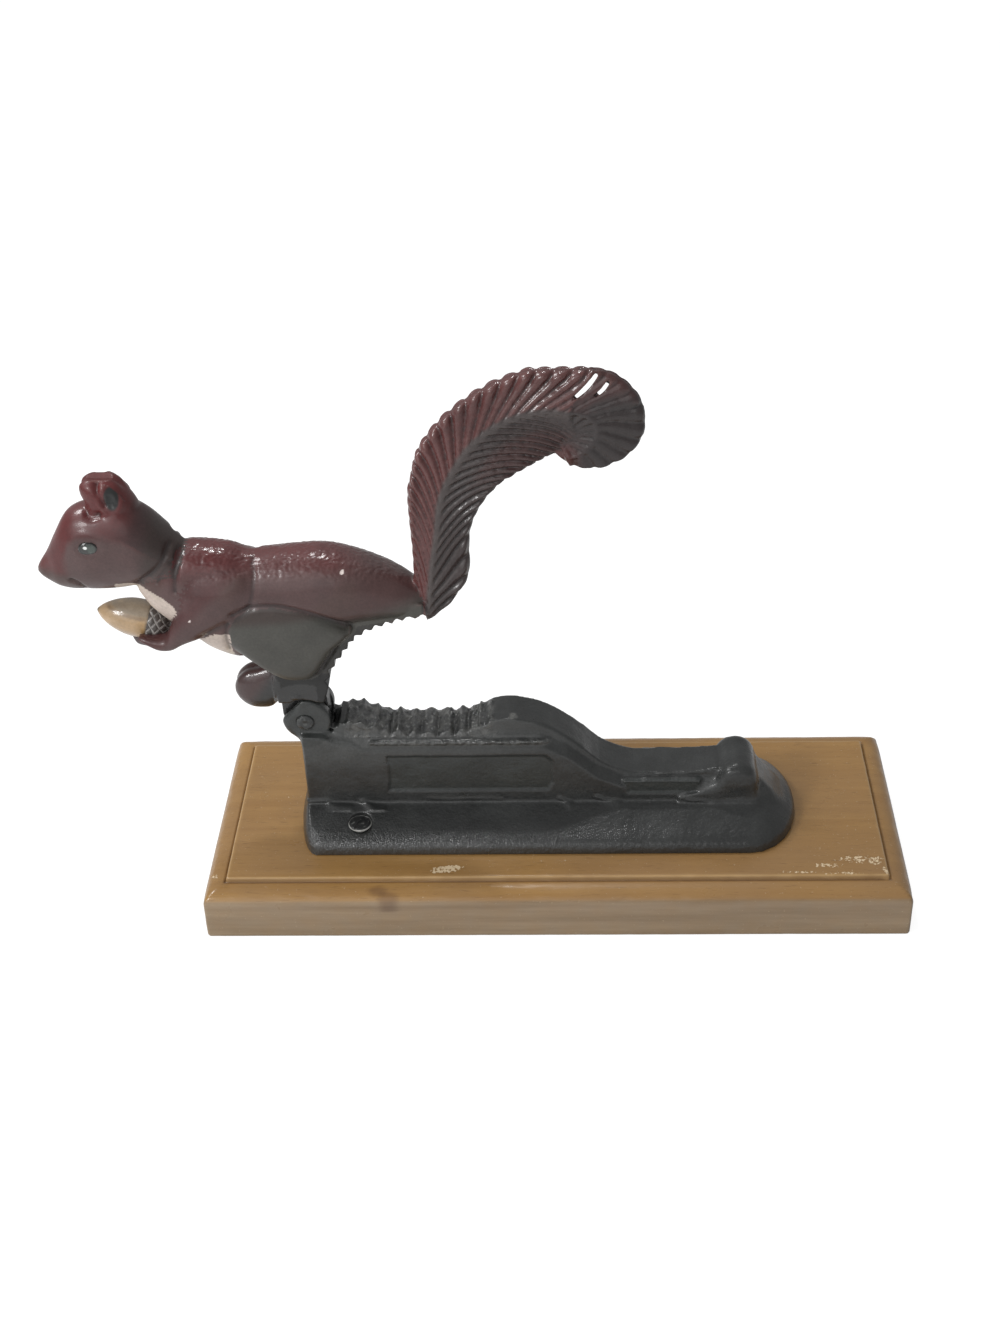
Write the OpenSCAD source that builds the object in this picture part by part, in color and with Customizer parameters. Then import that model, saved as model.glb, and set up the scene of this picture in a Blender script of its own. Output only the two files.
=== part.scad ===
// Lever nutcracker press: a cast squirrel whose tail is the handle, hinged to a cast
// base with a toothed jaw, on a moulded wooden board.
// Millimetres. X runs from the head to the tail, Y away from the front, Z up.
// The origin is the centre of the board's underside.
// Outlines of both castings are written from the hinge axis: [x, z] with the hinge at [0, 0].

/* [Board] */
// Length of the wooden board
board_l = 242; // [225:1:280]
// Width of the wooden board
board_w = 88.8; // [76:0.2:110]
// Thickness of the wooden board
board_t = 20.3; // [18:0.1:30]
// Width of the moulded border round the raised panel
border_w = 7; // [5:0.5:10]
// Height of the plain edge below the moulding
edge_h = 14; // [9:0.5:17]
// Step up to the raised panel
step_h = 1.5; // [0.5:0.1:2.5]

/* [Cast base] */
// Hinge axis, distance left of the board's centre
hinge_x = 84.8; // [80:0.2:88]
// Hinge axis, height above the board's top
hinge_h = 44.7; // [43:0.1:49]
// Half width of the foot flange
flange_hw = 25.6; // [23:0.2:32]
// Thickness of the flange at its edge
flange_t = 4; // [3:0.1:5]
// Rise of the flange's top from its edge to the wall
flange_rise = 6.8; // [4:0.1:9]
// Half thickness of the upright wall
wall_hw = 9.7; // [9:0.1:11]
// Depth of the panels sunk in the wall's sides
panel_depth = 1.8; // [0.5:0.1:2.2]
// Radius of the cross knob at the low end
knob_r = 7; // [5.5:0.1:7.5]

/* [Jaws] */
// Half width of both toothed jaws
jaw_hw = 7; // [6.4:0.1:8]
// Distance from tooth to tooth
tooth_pitch = 4; // [3:0.1:6]
// Height of the teeth
tooth_h = 1.6; // [0.8:0.1:2.2]

/* [Hinge] */
// Radius of the hinge pin
pin_r = 2.5; // [2:0.1:3.2]
// Play between the pin and the lever's bore, on the radius
pin_play = 0.08; // [0.03:0.01:0.1]
// Radius of the two hinge ears
ear_r = 8.7; // [8:0.1:9.2]
// Rounding on the outer rim of each ear
ear_round = 0.9; // [0.4:0.1:1.5]
// Half width of the slot between the ears
slot_hw = 3.6; // [3:0.1:4.2]
// Side play between the lever's tongue and an ear
side_play = 0.3; // [0.2:0.05:0.5]
// Clearance between the lever and the ears all round
swing_gap = 0.5; // [0.4:0.05:0.8]
// How far each riveted end of the pin stands out
rivet_out = 1.2; // [0.8:0.1:2]

/* [Squirrel] */
// Half thickness of the body
body_hw = 12.5; // [11:0.1:14]
// Half thickness of the head
head_hw = 10.6; // [9:0.1:12]
// Half thickness over the haunches
haunch_hw = 13.3; // [12.5:0.1:15]
// Half thickness of each arm
arm_hw = 5.2; // [4:0.1:6]
// Largest radius of the acorn
acorn_r = 6.2; // [5:0.1:7]
// Radius of the eyes
eye_r = 2.4; // [1.8:0.1:3]

/* [Tail] */
// Half thickness of the tail along its midrib
midrib_hw = 5.6; // [4.5:0.1:7]
// Half thickness of the tail at its edges
tail_edge_hw = 1.9; // [1.5:0.1:3]
// Number of ribs on each side of the midrib
rib_count = 34; // [24:1:40]
// Height of the ribs
rib_h = 0.9; // [0.4:0.1:1.2]

/* [Screws] */
// Radius of the screw heads
screw_head_r = 4.1; // [3.5:0.1:4.6]
// Radius of the screw shanks
screw_r = 2.1; // [1.6:0.1:2.6]
// Length of the screws
screw_l = 19; // [16:0.5:21]
// Distance of the front screw from the casting's head end
front_screw_in = 22; // [20:0.5:30]
// Distance of the rear screw from the casting's tail end
rear_screw_in = 17; // [15:0.5:25]
// Distance of both screws from the flange's long edge
side_screw_in = 8.3; // [7.1:0.1:9.6]
// Play round a screw in its hole, on the radius
screw_play = 0.1; // [0.05:0.05:0.3]

/* [Hidden] */
$fn = 48;
loft_sides = 16;          // points round each lofted section of body and head
limb_sides = 10;          // the same for an arm, a foot or an ear
loft_steps = 2;           // sections drawn between two stations
hinge = [-hinge_x, 0, board_t + hinge_h];
deck = -hinge_h;          // the board's top, seen from the hinge
tongue_hw = slot_hw - side_play;
tongue_r = ear_r - 0.7;   // the tongue's round end, a little inside the ears' outline
slot_r = tongue_r + swing_gap;
ear_face = jaw_hw + 0.2;  // outer face of each ear
slot_mouth_z = -3.5;      // where the slot opens towards the jaw
ear_flat = 0.76 * ear_r;  // distance from the axis of the flat on each ear's lower left
heel_z = 0.15 - slot_r;   // underside of the heel, just clear of the slot's floor
heel_l = 4;               // reach of the heel to the left of the axis
head_h = 2.4;             // depth of a screw's cone
drive_w = 1.1;            // width of a screw's slot
drive_d = 0.9;            // depth of a screw's slot
crown_h = 0.5;            // rise of a screw's head above its rim
seat_clear = 6;           // depth of casting cut away above a screw's head
hollow_y = 0.72 * head_hw;
eye_sunk = 0.5;           // how far an eye's centre lies inside the head's side
// Ends of the flange: [where its round end starts, how far that reaches], from the hinge
flange_left = [1.8, 7];
flange_right = [151.8, 18];
// Where the two screws stand, and the height of the flange's top there
screw_y = flange_hw - side_screw_in;
seat_z = board_t + flange_t + flange_rise * side_screw_in / (flange_hw - wall_hw);
front_screw = [flange_left[0] - flange_left[1] + front_screw_in - hinge_x, -screw_y, seat_z];
rear_screw = [flange_right[0] + flange_right[1] - rear_screw_in - hinge_x, screw_y, seat_z];

// ---- curves -------------------------------------------------------------------------

// Point at t on the smooth curve from b to c, where a and d are their neighbours.
function smooth_point(a, b, c, d, t) =
    0.5 * (2 * b + (c - a) * t + (2 * a - 5 * b + 4 * c - d) * t * t
           + (3 * b - a - 3 * c + d) * t * t * t);

// A smooth curve through points or stations, with n steps from one to the next.
function smooth(p, n) = [
    for (i = [0 : len(p) - 2], k = [0 : n - 1])
        smooth_point(p[max(i - 1, 0)], p[i], p[i + 1], p[min(i + 2, len(p) - 1)], k / n),
    p[len(p) - 1]
];

// Value u of the way along a list, 0 to 1, on the same smooth curve.
function along(p, u) =
    let (s = u * (len(p) - 1), i = min(floor(s), len(p) - 2))
    smooth_point(p[max(i - 1, 0)], p[i], p[i + 1], p[min(i + 2, len(p) - 1)], s - i);

function run_length(p, i = 0) = i >= len(p) - 1 ? 0 : norm(p[i + 1] - p[i]) + run_length(p, i + 1);

// A curve with teeth on its left-hand side: valleys on the curve, tips height h off it.
function toothed(p, pitch, h) =
    let (
        fine = smooth(p, 8),
        n = round(run_length(fine) / pitch)
    ) [
        for (k = [0 : 2 * n])
            let (
                u = k / (2 * n),
                here = along(p, u),
                ahead = along(p, min(u + 0.002, 1)) - along(p, max(u - 0.002, 0)),
                side = [-ahead[1], ahead[0]] / norm(ahead)
            ) here + side * (k % 2) * h
    ];

// ---- lofts --------------------------------------------------------------------------

// A closed skin over a stack of rings that all have the same number of points, each ring
// turning by the right-hand rule about the way the stack runs.
module skin(rings) {
    n = len(rings[0]);
    m = len(rings);
    points = [for (r = rings, p = r) p];
    walls = [
        for (j = [0 : m - 2], k = [0 : n - 1])
            let (a = j * n + k, b = j * n + (k + 1) % n, c = a + n, d = b + n)
            each [[a, c, b], [b, c, d]]
    ];
    first = [for (k = [1 : n - 2]) [0, k, k + 1]];
    last = [for (k = [1 : n - 2]) [(m - 1) * n, (m - 1) * n + k + 1, (m - 1) * n + k]];
    polyhedron(points = points, faces = concat(walls, first, last));
}

// A section of a limb or body. s = [x, z, half height, half width, lean]: the half height
// lies along the lean angle from upright and the half width along Y.
function section(s, sides, square) = [
    for (k = [0 : sides - 1])
        let (
            c = cos(360 * k / sides),
            n = sin(360 * k / sides),
            u = s[2] * sign(c) * pow(abs(c), 2 / square),
            v = s[3] * sign(n) * pow(abs(n), 2 / square)
        ) [s[0] + u * sin(s[4]), -v, s[1] + u * cos(s[4])]
];

module loft(stations, square = 2.2, sides = loft_sides, steps = loft_steps) {
    skin([for (s = smooth(stations, steps)) section(s, sides, square)]);
}

// A prism from an [x, z] outline, centred on the middle plane.
module upright(outline, hw) {
    rotate([90, 0, 0])
        linear_extrude(2 * hw, center = true)
            polygon(outline);
}

// A solid of revolution about a line along Y. The profile is [radius, y].
module turned(profile) {
    rotate([-90, 0, 0]) rotate_extrude() polygon(profile);
}

// An outline with its corners kept and its flanks pillowed: full size on the middle plane,
// drawn in towards its centre at the two outer faces.
// Shells from the middle outwards: [share of the half thickness, share of the size].
pillow_shells = [[0.55, 1], [0.8, 0.985], [0.92, 0.92], [0.98, 0.8], [1, 0.6]];

module pillow(outline, hw) {
    mid = [for (i = [0, 1]) let (v = [for (p = outline) p[i]]) (min(v) + max(v)) / 2];
    far = pillow_shells;
    near = [for (i = [len(far) - 1 : -1 : 0]) [-far[i][0], far[i][1]]];
    skin([
        for (s = concat(near, far)) [
            for (p = outline)
                let (q = mid + (p - mid) * s[1]) [q[0], -s[0] * hw, q[1]]
        ]
    ]);
}

module mirrored_y() {
    children();
    mirror([0, 1, 0]) children();
}

// ---- wooden board -------------------------------------------------------------------

// Half of the board's section: plain edge, quarter round, small step, flat panel.
function board_half(hw) =
    let (round_h = board_t - step_h - edge_h) concat(
        [[hw, 0]],
        [for (a = [0 : 15 : 90])
            [hw - border_w + border_w * cos(a), edge_h + round_h * sin(a)]],
        [[hw - border_w, board_t]]
    );

function board_section(hw) =
    let (h = board_half(hw), n = len(h))
    concat(h, [for (i = [n - 1 : -1 : 0]) [-h[i][0], h[i][1]]]);

module pilot_hole(at) {
    translate([at[0], at[1], at[2] - screw_l - 1])
        cylinder(r = screw_r + screw_play, h = screw_l + 1);
}

module wood_base() {
    color([0.53, 0.40, 0.20])
        difference() {
            intersection() {
                rotate([90, 0, 0])
                    linear_extrude(board_w, center = true) polygon(board_section(board_l / 2));
                rotate([90, 0, 90])
                    linear_extrude(board_l, center = true) polygon(board_section(board_w / 2));
            }
            pilot_hole(front_screw);
            pilot_hole(rear_screw);
        }
}

// ---- cast base ----------------------------------------------------------------------

wall_left = -2.2;
wall_foot = [wall_left, 158];  // the wall's length where it leaves the flange

// The lower jaw's valleys, from the ear to the hump.
lower_jaw = [[9.6, -4.5], [12, -1.8], [17, -1.4], [24, -3.8], [30, -5.8], [37, -7],
             [44, -7], [51, -6.2], [57, -4.6], [61, -2.4]];
// The back of the spine, from the hump down to the low end.
spine_back = [[63, -0.6], [69.5, 0.4], [76, -0.8], [83, -3.2], [91.8, -9.6], [100.5, -18.2],
              [108.3, -22.4], [115.3, -23.6], [134, -23.2], [141, -22]];
spine_tail = [[155.5, -26], [163, -35], [168, -41.5]];
spine_head = [wall_left, -6];
knob = [148.3, -26.6];
knob_proud = 0.6;              // how far the knob stands out of the wall's sides
knob_round = 1.5;              // rounding of its rim
knob_dome = 0.8;               // crown of its faces
// The wall's top edge along its side faces, and where it meets the jaw.
wall_edge = [[wall_left, -5], [5, -5.4], [12, -8], [20, -10.5], [82, -10.5], [90, -15],
             [100, -24], [109, -28], [140, -29], [156, -33], [163, -38]];
wall_step = [[wall_left, -4], [5, -4.2], [12, -5.2], [20, -5.6], [80, -5.6], [88, -9],
             [99, -19], [108, -24], [140, -25], [156, -28], [165, -38]];
long_panel = [[26.8, -29], [84.3, -29], [84.3, -17.5], [80.5, -13.7], [26.8, -13.7]];
short_panel = [[111, -36], [134.2, -36], [136.3, -31.5], [107.9, -31.5]];

function flange_outline(hw) = concat(
    [for (a = [-90 : -15 : -270])
        [flange_left[0] + flange_left[1] * cos(a), hw * sin(a)]],
    [for (a = [90 : -15 : -90])
        [flange_right[0] + flange_right[1] * cos(a), hw * sin(a)]]
);

function on_deck(top) = concat([[top[0][0], deck]], top, [[top[len(top) - 1][0], deck]]);

function at_y(outline, y) = [for (p = outline) [p[0], y, p[1]]];

module flange() {
    hull() {
        translate([0, 0, deck]) linear_extrude(flange_t) polygon(flange_outline(flange_hw));
        translate([wall_foot[0], -wall_hw, deck])
            cube([wall_foot[1] - wall_foot[0], 2 * wall_hw, flange_t + flange_rise]);
    }
}

module wall() {
    skin([
        at_y(on_deck(wall_edge), -wall_hw),
        at_y(on_deck(wall_step), -jaw_hw),
        at_y(on_deck(wall_step), jaw_hw),
        at_y(on_deck(wall_edge), wall_hw)
    ]);
}

// Jaw, hump and back in one upright web.
module spine() {
    teeth = toothed(lower_jaw, tooth_pitch, tooth_h);
    upright(on_deck(concat([spine_head], teeth, smooth(spine_back, 3), spine_tail)), jaw_hw);
}

// One hinge ear on each side of the slot, flattened where it meets the wall.
module ears() {
    difference() {
        turned([[0, -ear_face], [ear_r - ear_round, -ear_face],
                for (a = [0 : 22.5 : 90])
                    [ear_r - ear_round + ear_round * sin(a),
                     -ear_face + ear_round - ear_round * cos(a)],
                for (a = [90 : -22.5 : 0])
                    [ear_r - ear_round + ear_round * sin(a),
                     ear_face - ear_round + ear_round * cos(a)],
                [0, ear_face]]);
        rotate([0, 45, 0])
            translate([-ear_flat - ear_r, -2 * ear_face, -2 * ear_r])
                cube([ear_r, 4 * ear_face, 4 * ear_r]);
    }
}

module cross_knob() {
    reach = wall_hw + knob_proud;
    rim = knob_r - knob_round;
    translate([knob[0], 0, knob[1]])
        turned([[0, -reach - knob_dome], [rim, -reach], [knob_r, -reach + knob_round],
                [knob_r, reach - knob_round], [rim, reach], [0, reach + knob_dome]]);
}

module side_panel(outline) {
    mirrored_y()
        translate([0, 2 * wall_hw - panel_depth, 0]) upright(outline, wall_hw);
}

// Through hole, cone seat and flat spot for one screw, in world coordinates.
module screw_seat(at) {
    translate(at) {
        translate([0, 0, -screw_l]) cylinder(r = screw_r + screw_play, h = screw_l);
        translate([0, 0, -head_h])
            cylinder(r1 = screw_r + screw_play, r2 = screw_head_r + screw_play, h = head_h);
        cylinder(r = screw_head_r + screw_play, h = seat_clear);
    }
}

module base_casting() {
    color([0.10, 0.11, 0.11])
        difference() {
            translate(hinge)
                difference() {
                    union() {
                        flange();
                        wall();
                        spine();
                        ears();
                        cross_knob();
                    }
                    side_panel(long_panel);
                    side_panel(short_panel);
                    // Slot for the lever's tongue: a round floor, open to the left and the top
                    turned([[0, -slot_hw], [slot_r, -slot_hw], [slot_r, slot_hw], [0, slot_hw]]);
                    translate([-2 * ear_r, -slot_hw, -slot_r])
                        cube([2 * ear_r, 2 * slot_hw, 2 * slot_r]);
                    translate([-2 * ear_r, -slot_hw, slot_mouth_z])
                        cube([3 * ear_r + swing_gap, 2 * slot_hw, 3 * ear_r]);
                    // Pin bore
                    rotate([90, 0, 0]) cylinder(r = pin_r, h = 4 * ear_face, center = true);
                }
            screw_seat(front_screw);
            screw_seat(rear_screw);
        }
}

// ---- squirrel lever -----------------------------------------------------------------

// Stations are [x, z, half height, share of the half thickness, lean].
torso = [[-50, 55.5, 4, 0.4, 0], [-46.5, 54.5, 8.6, 0.62, 0], [-42, 53.5, 12.4, 0.76, 0],
         [-36, 52.5, 16, 0.88, 0], [-28, 48.8, 19.6, 0.96, 0], [-20, 46.5, 20.8, 1, 0],
         [-14, 46, 19, 0.98, 0], [-7, 46.7, 18.4, 0.98, 0], [2, 48.8, 17, 1, 0],
         [11, 51.1, 15, 0.98, 0], [20, 51.6, 12.3, 0.92, 0], [29, 50.3, 9.9, 0.8, 0],
         [37, 48, 7.8, 0.62, 0], [43.9, 45.3, 4.6, 0.37, 0]];
head = [[-82.8, 59.5, 1.5, 0.15, 0], [-81.2, 59.8, 3.8, 0.32, 0], [-78.2, 60.2, 6.4, 0.5, 0],
        [-75.2, 61.8, 9.2, 0.66, 0], [-71.2, 65.4, 12.7, 0.82, 0], [-67.2, 67.4, 14.4, 0.93, 0],
        [-62.2, 68.4, 15.3, 1, 0], [-56.2, 69.1, 15.9, 1, 0], [-50.2, 69.6, 15.5, 0.98, 0],
        [-44.2, 67.8, 13.2, 0.94, 0], [-38.2, 64.1, 9.7, 0.86, 0], [-33.2, 61, 7.5, 0.7, 0]];
ear_lobe = [[-54.5, 80, 9, 0.62, -90], [-55, 84.5, 8, 0.58, -90], [-56.6, 88.5, 7.4, 0.56, -90],
            [-57.4, 91.5, 6.6, 0.48, -90], [-57.4, 93.5, 4.4, 0.3, -90]];
ear_hollow = [-53.8, 87.5];
hollow_r = 3.2;
eye = [-62.5, 73.4];
arm = [[-23.4, 64, 6.5, 0.1, 90], [-23.3, 61.5, 10.6, 0.5, 90], [-23.6, 56, 12.4, 0.95, 92],
       [-25.5, 50.8, 11.4, 1, 110], [-29.7, 46.8, 7.8, 1, 130], [-35, 42.4, 5.8, 0.92, 148],
       [-40.6, 38.2, 4.5, 0.84, 158], [-46, 35.4, 3.7, 0.72, 168], [-50, 34.8, 2.6, 0.5, 175]];
arm_y = 8.1;
acorn_tip = [-66, 42.5];
acorn_tilt = 14.7;
acorn_l = 25.6;
haunch = [[-20.6, 42], [-21, 35.5], [-18.3, 31], [-12.5, 25.4], [-6, 20.8], [0, 19.4],
          [5, 20.2], [8.8, 25.6], [12.8, 32], [17.8, 36.8], [19, 41], [13, 45],
          [3.8, 48.5], [-5.2, 50.3], [-13.2, 49.4], [-18, 46.4]];
foot = [[-23.4, 11.4, 1.6, 0.3, 0], [-22, 11.4, 4.4, 0.66, 0], [-19, 11.3, 7, 0.92, 0],
        [-15, 11.4, 8, 1, 0], [-11, 12.6, 8.4, 1, 0], [-7, 16.4, 7, 0.9, 0],
        [-4, 19, 5, 0.7, 0]];
foot_hw = 4.2;
foot_y = 3;
upper_jaw = [[44.4, 42.6], [37, 41.5], [31, 39.8], [25, 37.4], [19.6, 33.8], [15.8, 28.4],
             [11.4, 22], [9.3, 15]];
jaw_root = [[7.2, 8], [-8.5, 8], [-8.5, 26], [6, 44.7], [30, 49.3], [43, 47.6]];
tongue_top = [[7.2, 12], [-8.5, 12]];

// Tail stations: outer edge, midrib and inner edge, each [x, z], from the root to the curl.
tail_run = [
    [[40.4, 50.3], [44, 40.4], [50.3, 43.4]],
    [[40.8, 60.5], [45.4, 50.5], [57.6, 54.5]],
    [[40.7, 72.5], [47, 62.5], [58.8, 70.5]],
    [[40.7, 82.5], [48.8, 73.5], [62.3, 80.5]],
    [[42, 92.5], [50.6, 85.5], [68.3, 88.5]],
    [[45, 101.7], [54.8, 95.5], [75.8, 93.5]],
    [[52.3, 111.3], [60.3, 104], [81.8, 97]],
    [[62.8, 120], [67.3, 110.5], [86.8, 99.8]],
    [[74.8, 126], [75.3, 114.5], [90, 102.7]],
    [[86.8, 128.7], [83.8, 116], [92, 105]],
    [[97.8, 128.2], [90.8, 115], [93.4, 106.5]]
];
// The curl starts inside the tail's end and turns back under it.
curl_run = [
    [[94.6, 127.6], [90.6, 115.6], [90.3, 108]],
    [[101.8, 127.4], [94.6, 114.6], [89.9, 107.6]],
    [[108.6, 123.2], [98.4, 112.4], [89.6, 107.2]],
    [[113.3, 116], [99.6, 109.5], [89.3, 106.8]],
    [[113.8, 106.5], [99.2, 106], [89, 106.3]],
    [[108.8, 98.8], [96.6, 102.6], [88.7, 105.8]],
    [[99.8, 95], [93.6, 100], [88.4, 105.3]],
    [[90.8, 96.3], [89.6, 99.6], [88, 104.8]]
];
// Two ribs open right through: [x, z, rise, half length]
rib_slots = [[96.4, 120, 49.6, 6.6], [102.6, 119.5, 53, 3.6]];
rib_slot_w = 1.5;
rib_reach = 0.7;               // share of a rib's height by which its outer end stands out
tail_mid_share = [1, 0.8];     // thickness along the midrib, from the root to the curl
curl_mid_share = [0.72, 0.6];  // the same along the curl

// One line of the tail: edge, flank, midrib, flank, edge on the near side, then the far side.
// lift is 1 on a rib and 0 in a groove.
function tail_ring(s, lift, mid_hw) =
    let (
        outer = s[0] + (s[0] - s[1]) / norm(s[0] - s[1]) * lift * rib_h * rib_reach,
        inner = s[2],
        flank = (tail_edge_hw + mid_hw) / 2 - rib_h / 2 + lift * rib_h,
        edge = tail_edge_hw - rib_h / 4 + lift * rib_h / 2,
        line = [
            [outer, edge], [(s[0] + s[1]) / 2, flank], [s[1], mid_hw],
            [(s[1] + s[2]) / 2, flank], [inner, edge]
        ]
    ) concat(
        [for (p = line) [p[0][0], -p[1], p[0][1]]],
        [for (i = [4 : -1 : 0]) [line[i][0][0], line[i][1], line[i][0][1]]]
    );

// Ribbed length of tail through a list of stations, n ribs long. mid is the share of the
// midrib's thickness at its start and its end.
module ribbed(run, n, mid) {
    lines = [for (i = [0 : 2]) [for (s = run) s[i]]];
    skin([
        for (k = [0 : 2 * n])
            let (u = k / (2 * n))
            tail_ring([for (l = lines) along(l, u)], k % 2,
                      midrib_hw * (mid[0] + (mid[1] - mid[0]) * u))
    ]);
}

module tail() {
    curl_ribs = round(rib_count / 4);
    difference() {
        union() {
            ribbed(tail_run, rib_count - curl_ribs, tail_mid_share);
            ribbed(curl_run, curl_ribs, curl_mid_share);
        }
        for (s = rib_slots)
            translate([s[0], 0, s[1]])
                rotate([0, -s[2], 0])
                    scale([s[3], 1, rib_slot_w / 2])
                        rotate([90, 0, 0])
                            cylinder(r = 1, h = 4 * midrib_hw, center = true, $fn = 10);
    }
}

module acorn() {
    // Section of nut and cap: [share of the length, share of the radius]
    nut = [[0, 0], [0.015, 0.12], [0.09, 0.42], [0.22, 0.72], [0.38, 0.93], [0.52, 1], [0.68, 0.97]];
    cap = [[0.68, 1.1], [0.74, 1.12], [0.84, 1.02], [0.94, 0.72], [1, 0.3], [1, 0]];
    translate([acorn_tip[0], 0, acorn_tip[1]])
        rotate([0, 90 + acorn_tilt, 0])
            rotate_extrude($fn = 20)
                polygon([for (p = concat(nut, cap)) [p[1] * acorn_r, p[0] * acorn_l]]);
}

// Four fingers of one paw, curled up round the acorn, each one step along from the last.
finger = [[1, 0.3, 1.2, 1.2, 180], [0, 0, 1.9, 1.9, 180], [-3, -0.9, 1.7, 1.7, 180],
          [-5.2, 0.1, 1.3, 1.3, 180], [-6.2, 0.6, 0.5, 0.5, 180]];
finger_root = [-46.5, -7, 34.6];
finger_step = [-1.3, 0.7, -0.3];
finger_turn = [-24, -29, -33, -38];   // how far each one turns in towards the middle

module fingers() {
    for (i = [0 : 3])
        translate(finger_root + i * finger_step)
            rotate([0, 0, finger_turn[i]])
                loft(finger, 2.1, 7, 1);
}

// Everything carved in the round, set to its full thickness over the haunches.
module squirrel_form() {
    stretch = function (stations, hw) [for (s = stations) [s[0], s[1], s[2], s[3] * hw, s[4]]];
    resize([0, 2 * haunch_hw, 0])
        union() {
            loft(stretch(torso, body_hw), 2.3);
            loft(stretch(head, head_hw), 2.2);
            loft(stretch(ear_lobe, head_hw), 2.4, limb_sides + 2);
            mirrored_y() {
                translate([0, -arm_y, 0]) loft(stretch(arm, arm_hw), 2.2, limb_sides);
                translate([0, -foot_y, 0]) loft(stretch(foot, foot_hw), 2.2, limb_sides);
                translate([eye[0], eye_sunk - head_hw, eye[1]]) sphere(r = eye_r, $fn = 10);
                fingers();
            }
            pillow(haunch, haunch_hw);
            acorn();
            tail();
        }
}

// The leg between the jaws and the hinge, with the upper jaw's teeth on its right.
module leg() {
    upright(concat(toothed(upper_jaw, tooth_pitch, -tooth_h), jaw_root), jaw_hw);
}

module squirrel_lever() {
    color([0.29, 0.09, 0.10])
        translate(hinge)
            difference() {
                union() {
                    squirrel_form();
                    leg();
                    rotate([90, 0, 0]) cylinder(r = tongue_r, h = 2 * tongue_hw, center = true);
                    upright(concat([[-tongue_r, 0], [tongue_r, 0]], tongue_top), tongue_hw);
                    // Heel that meets the slot's floor when the lever stands open
                    upright([[0, 0], [0, heel_z], [-heel_l, heel_z], [-tongue_r, 0]], tongue_hw);
                }
                mirrored_y()
                    translate([0, -tongue_hw, 0]) rotate([90, 0, 0])
                        cylinder(r = ear_r + swing_gap, h = 2 * haunch_hw);
                rotate([90, 0, 0]) cylinder(r = pin_r + pin_play, h = 4 * ear_face, center = true);
                mirrored_y()
                    translate([ear_hollow[0], -hollow_y, ear_hollow[1]]) sphere(r = hollow_r);
            }
}

// ---- pin and screws -----------------------------------------------------------------

rivet_flare = 0.5;        // how much wider than the pin its hammered ends are
rivet_rim = 0.4;          // height of their rims
rivet_crown = 0.15;       // height of their crowns
crown_share = 0.6;        // radius of a crown, as a share of the pin's or the screw head's

module hinge_pin() {
    reach = ear_face + rivet_out;
    head = pin_r + rivet_flare;
    crown = pin_r * crown_share;
    color([0.24, 0.25, 0.25])
        translate(hinge)
            turned([[0, -reach], [crown, -reach + rivet_crown], [head, -ear_face - rivet_rim],
                    [head, -ear_face], [pin_r, -ear_face], [pin_r, ear_face],
                    [head, ear_face], [head, ear_face + rivet_rim],
                    [crown, reach - rivet_crown], [0, reach]]);
}

// Flat-head wood screw with its head level with the seat.
module screw(at) {
    point_h = 3;
    color([0.20, 0.21, 0.21])
        translate(at)
            difference() {
                rotate_extrude()
                    polygon([[0, -screw_l], [screw_r, -screw_l + point_h], [screw_r, -head_h],
                             [screw_head_r, 0], [screw_head_r * crown_share, 0.7 * crown_h],
                             [0, crown_h]]);
                translate([-screw_head_r, -drive_w / 2, crown_h - drive_d])
                    cube([2 * screw_head_r, drive_w, drive_d]);
            }
}

module screw_front() { screw(front_screw); }

module screw_rear() { screw(rear_screw); }

wood_base();
base_casting();
squirrel_lever();
hinge_pin();
screw_front();
screw_rear();
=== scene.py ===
"""Lever nutcracker press: a painted cast squirrel on a toothed black base and a moulded board.

Shapes are worked out in millimetres from the hinge axis (x towards the tail, y away from the
front, z up) and are set into the frame, in metres, at the end of each piece.
"""

import math

import bmesh
import bpy
import numpy as np
from mathutils import Matrix, Vector, kdtree, noise


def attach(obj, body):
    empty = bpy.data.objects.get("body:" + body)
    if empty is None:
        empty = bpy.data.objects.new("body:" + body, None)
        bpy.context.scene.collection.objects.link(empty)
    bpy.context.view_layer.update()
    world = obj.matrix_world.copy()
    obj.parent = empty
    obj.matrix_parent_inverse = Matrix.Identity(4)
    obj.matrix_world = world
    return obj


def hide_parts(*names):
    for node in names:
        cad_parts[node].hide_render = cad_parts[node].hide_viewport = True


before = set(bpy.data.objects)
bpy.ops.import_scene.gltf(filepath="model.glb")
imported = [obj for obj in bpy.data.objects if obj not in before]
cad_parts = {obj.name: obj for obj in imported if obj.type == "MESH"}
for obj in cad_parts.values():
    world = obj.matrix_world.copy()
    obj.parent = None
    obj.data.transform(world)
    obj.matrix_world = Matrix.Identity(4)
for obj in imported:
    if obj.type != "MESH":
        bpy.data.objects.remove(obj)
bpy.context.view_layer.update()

MM = 0.001
HINGE = np.array([-84.8, 0.0, 65.0])

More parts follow.
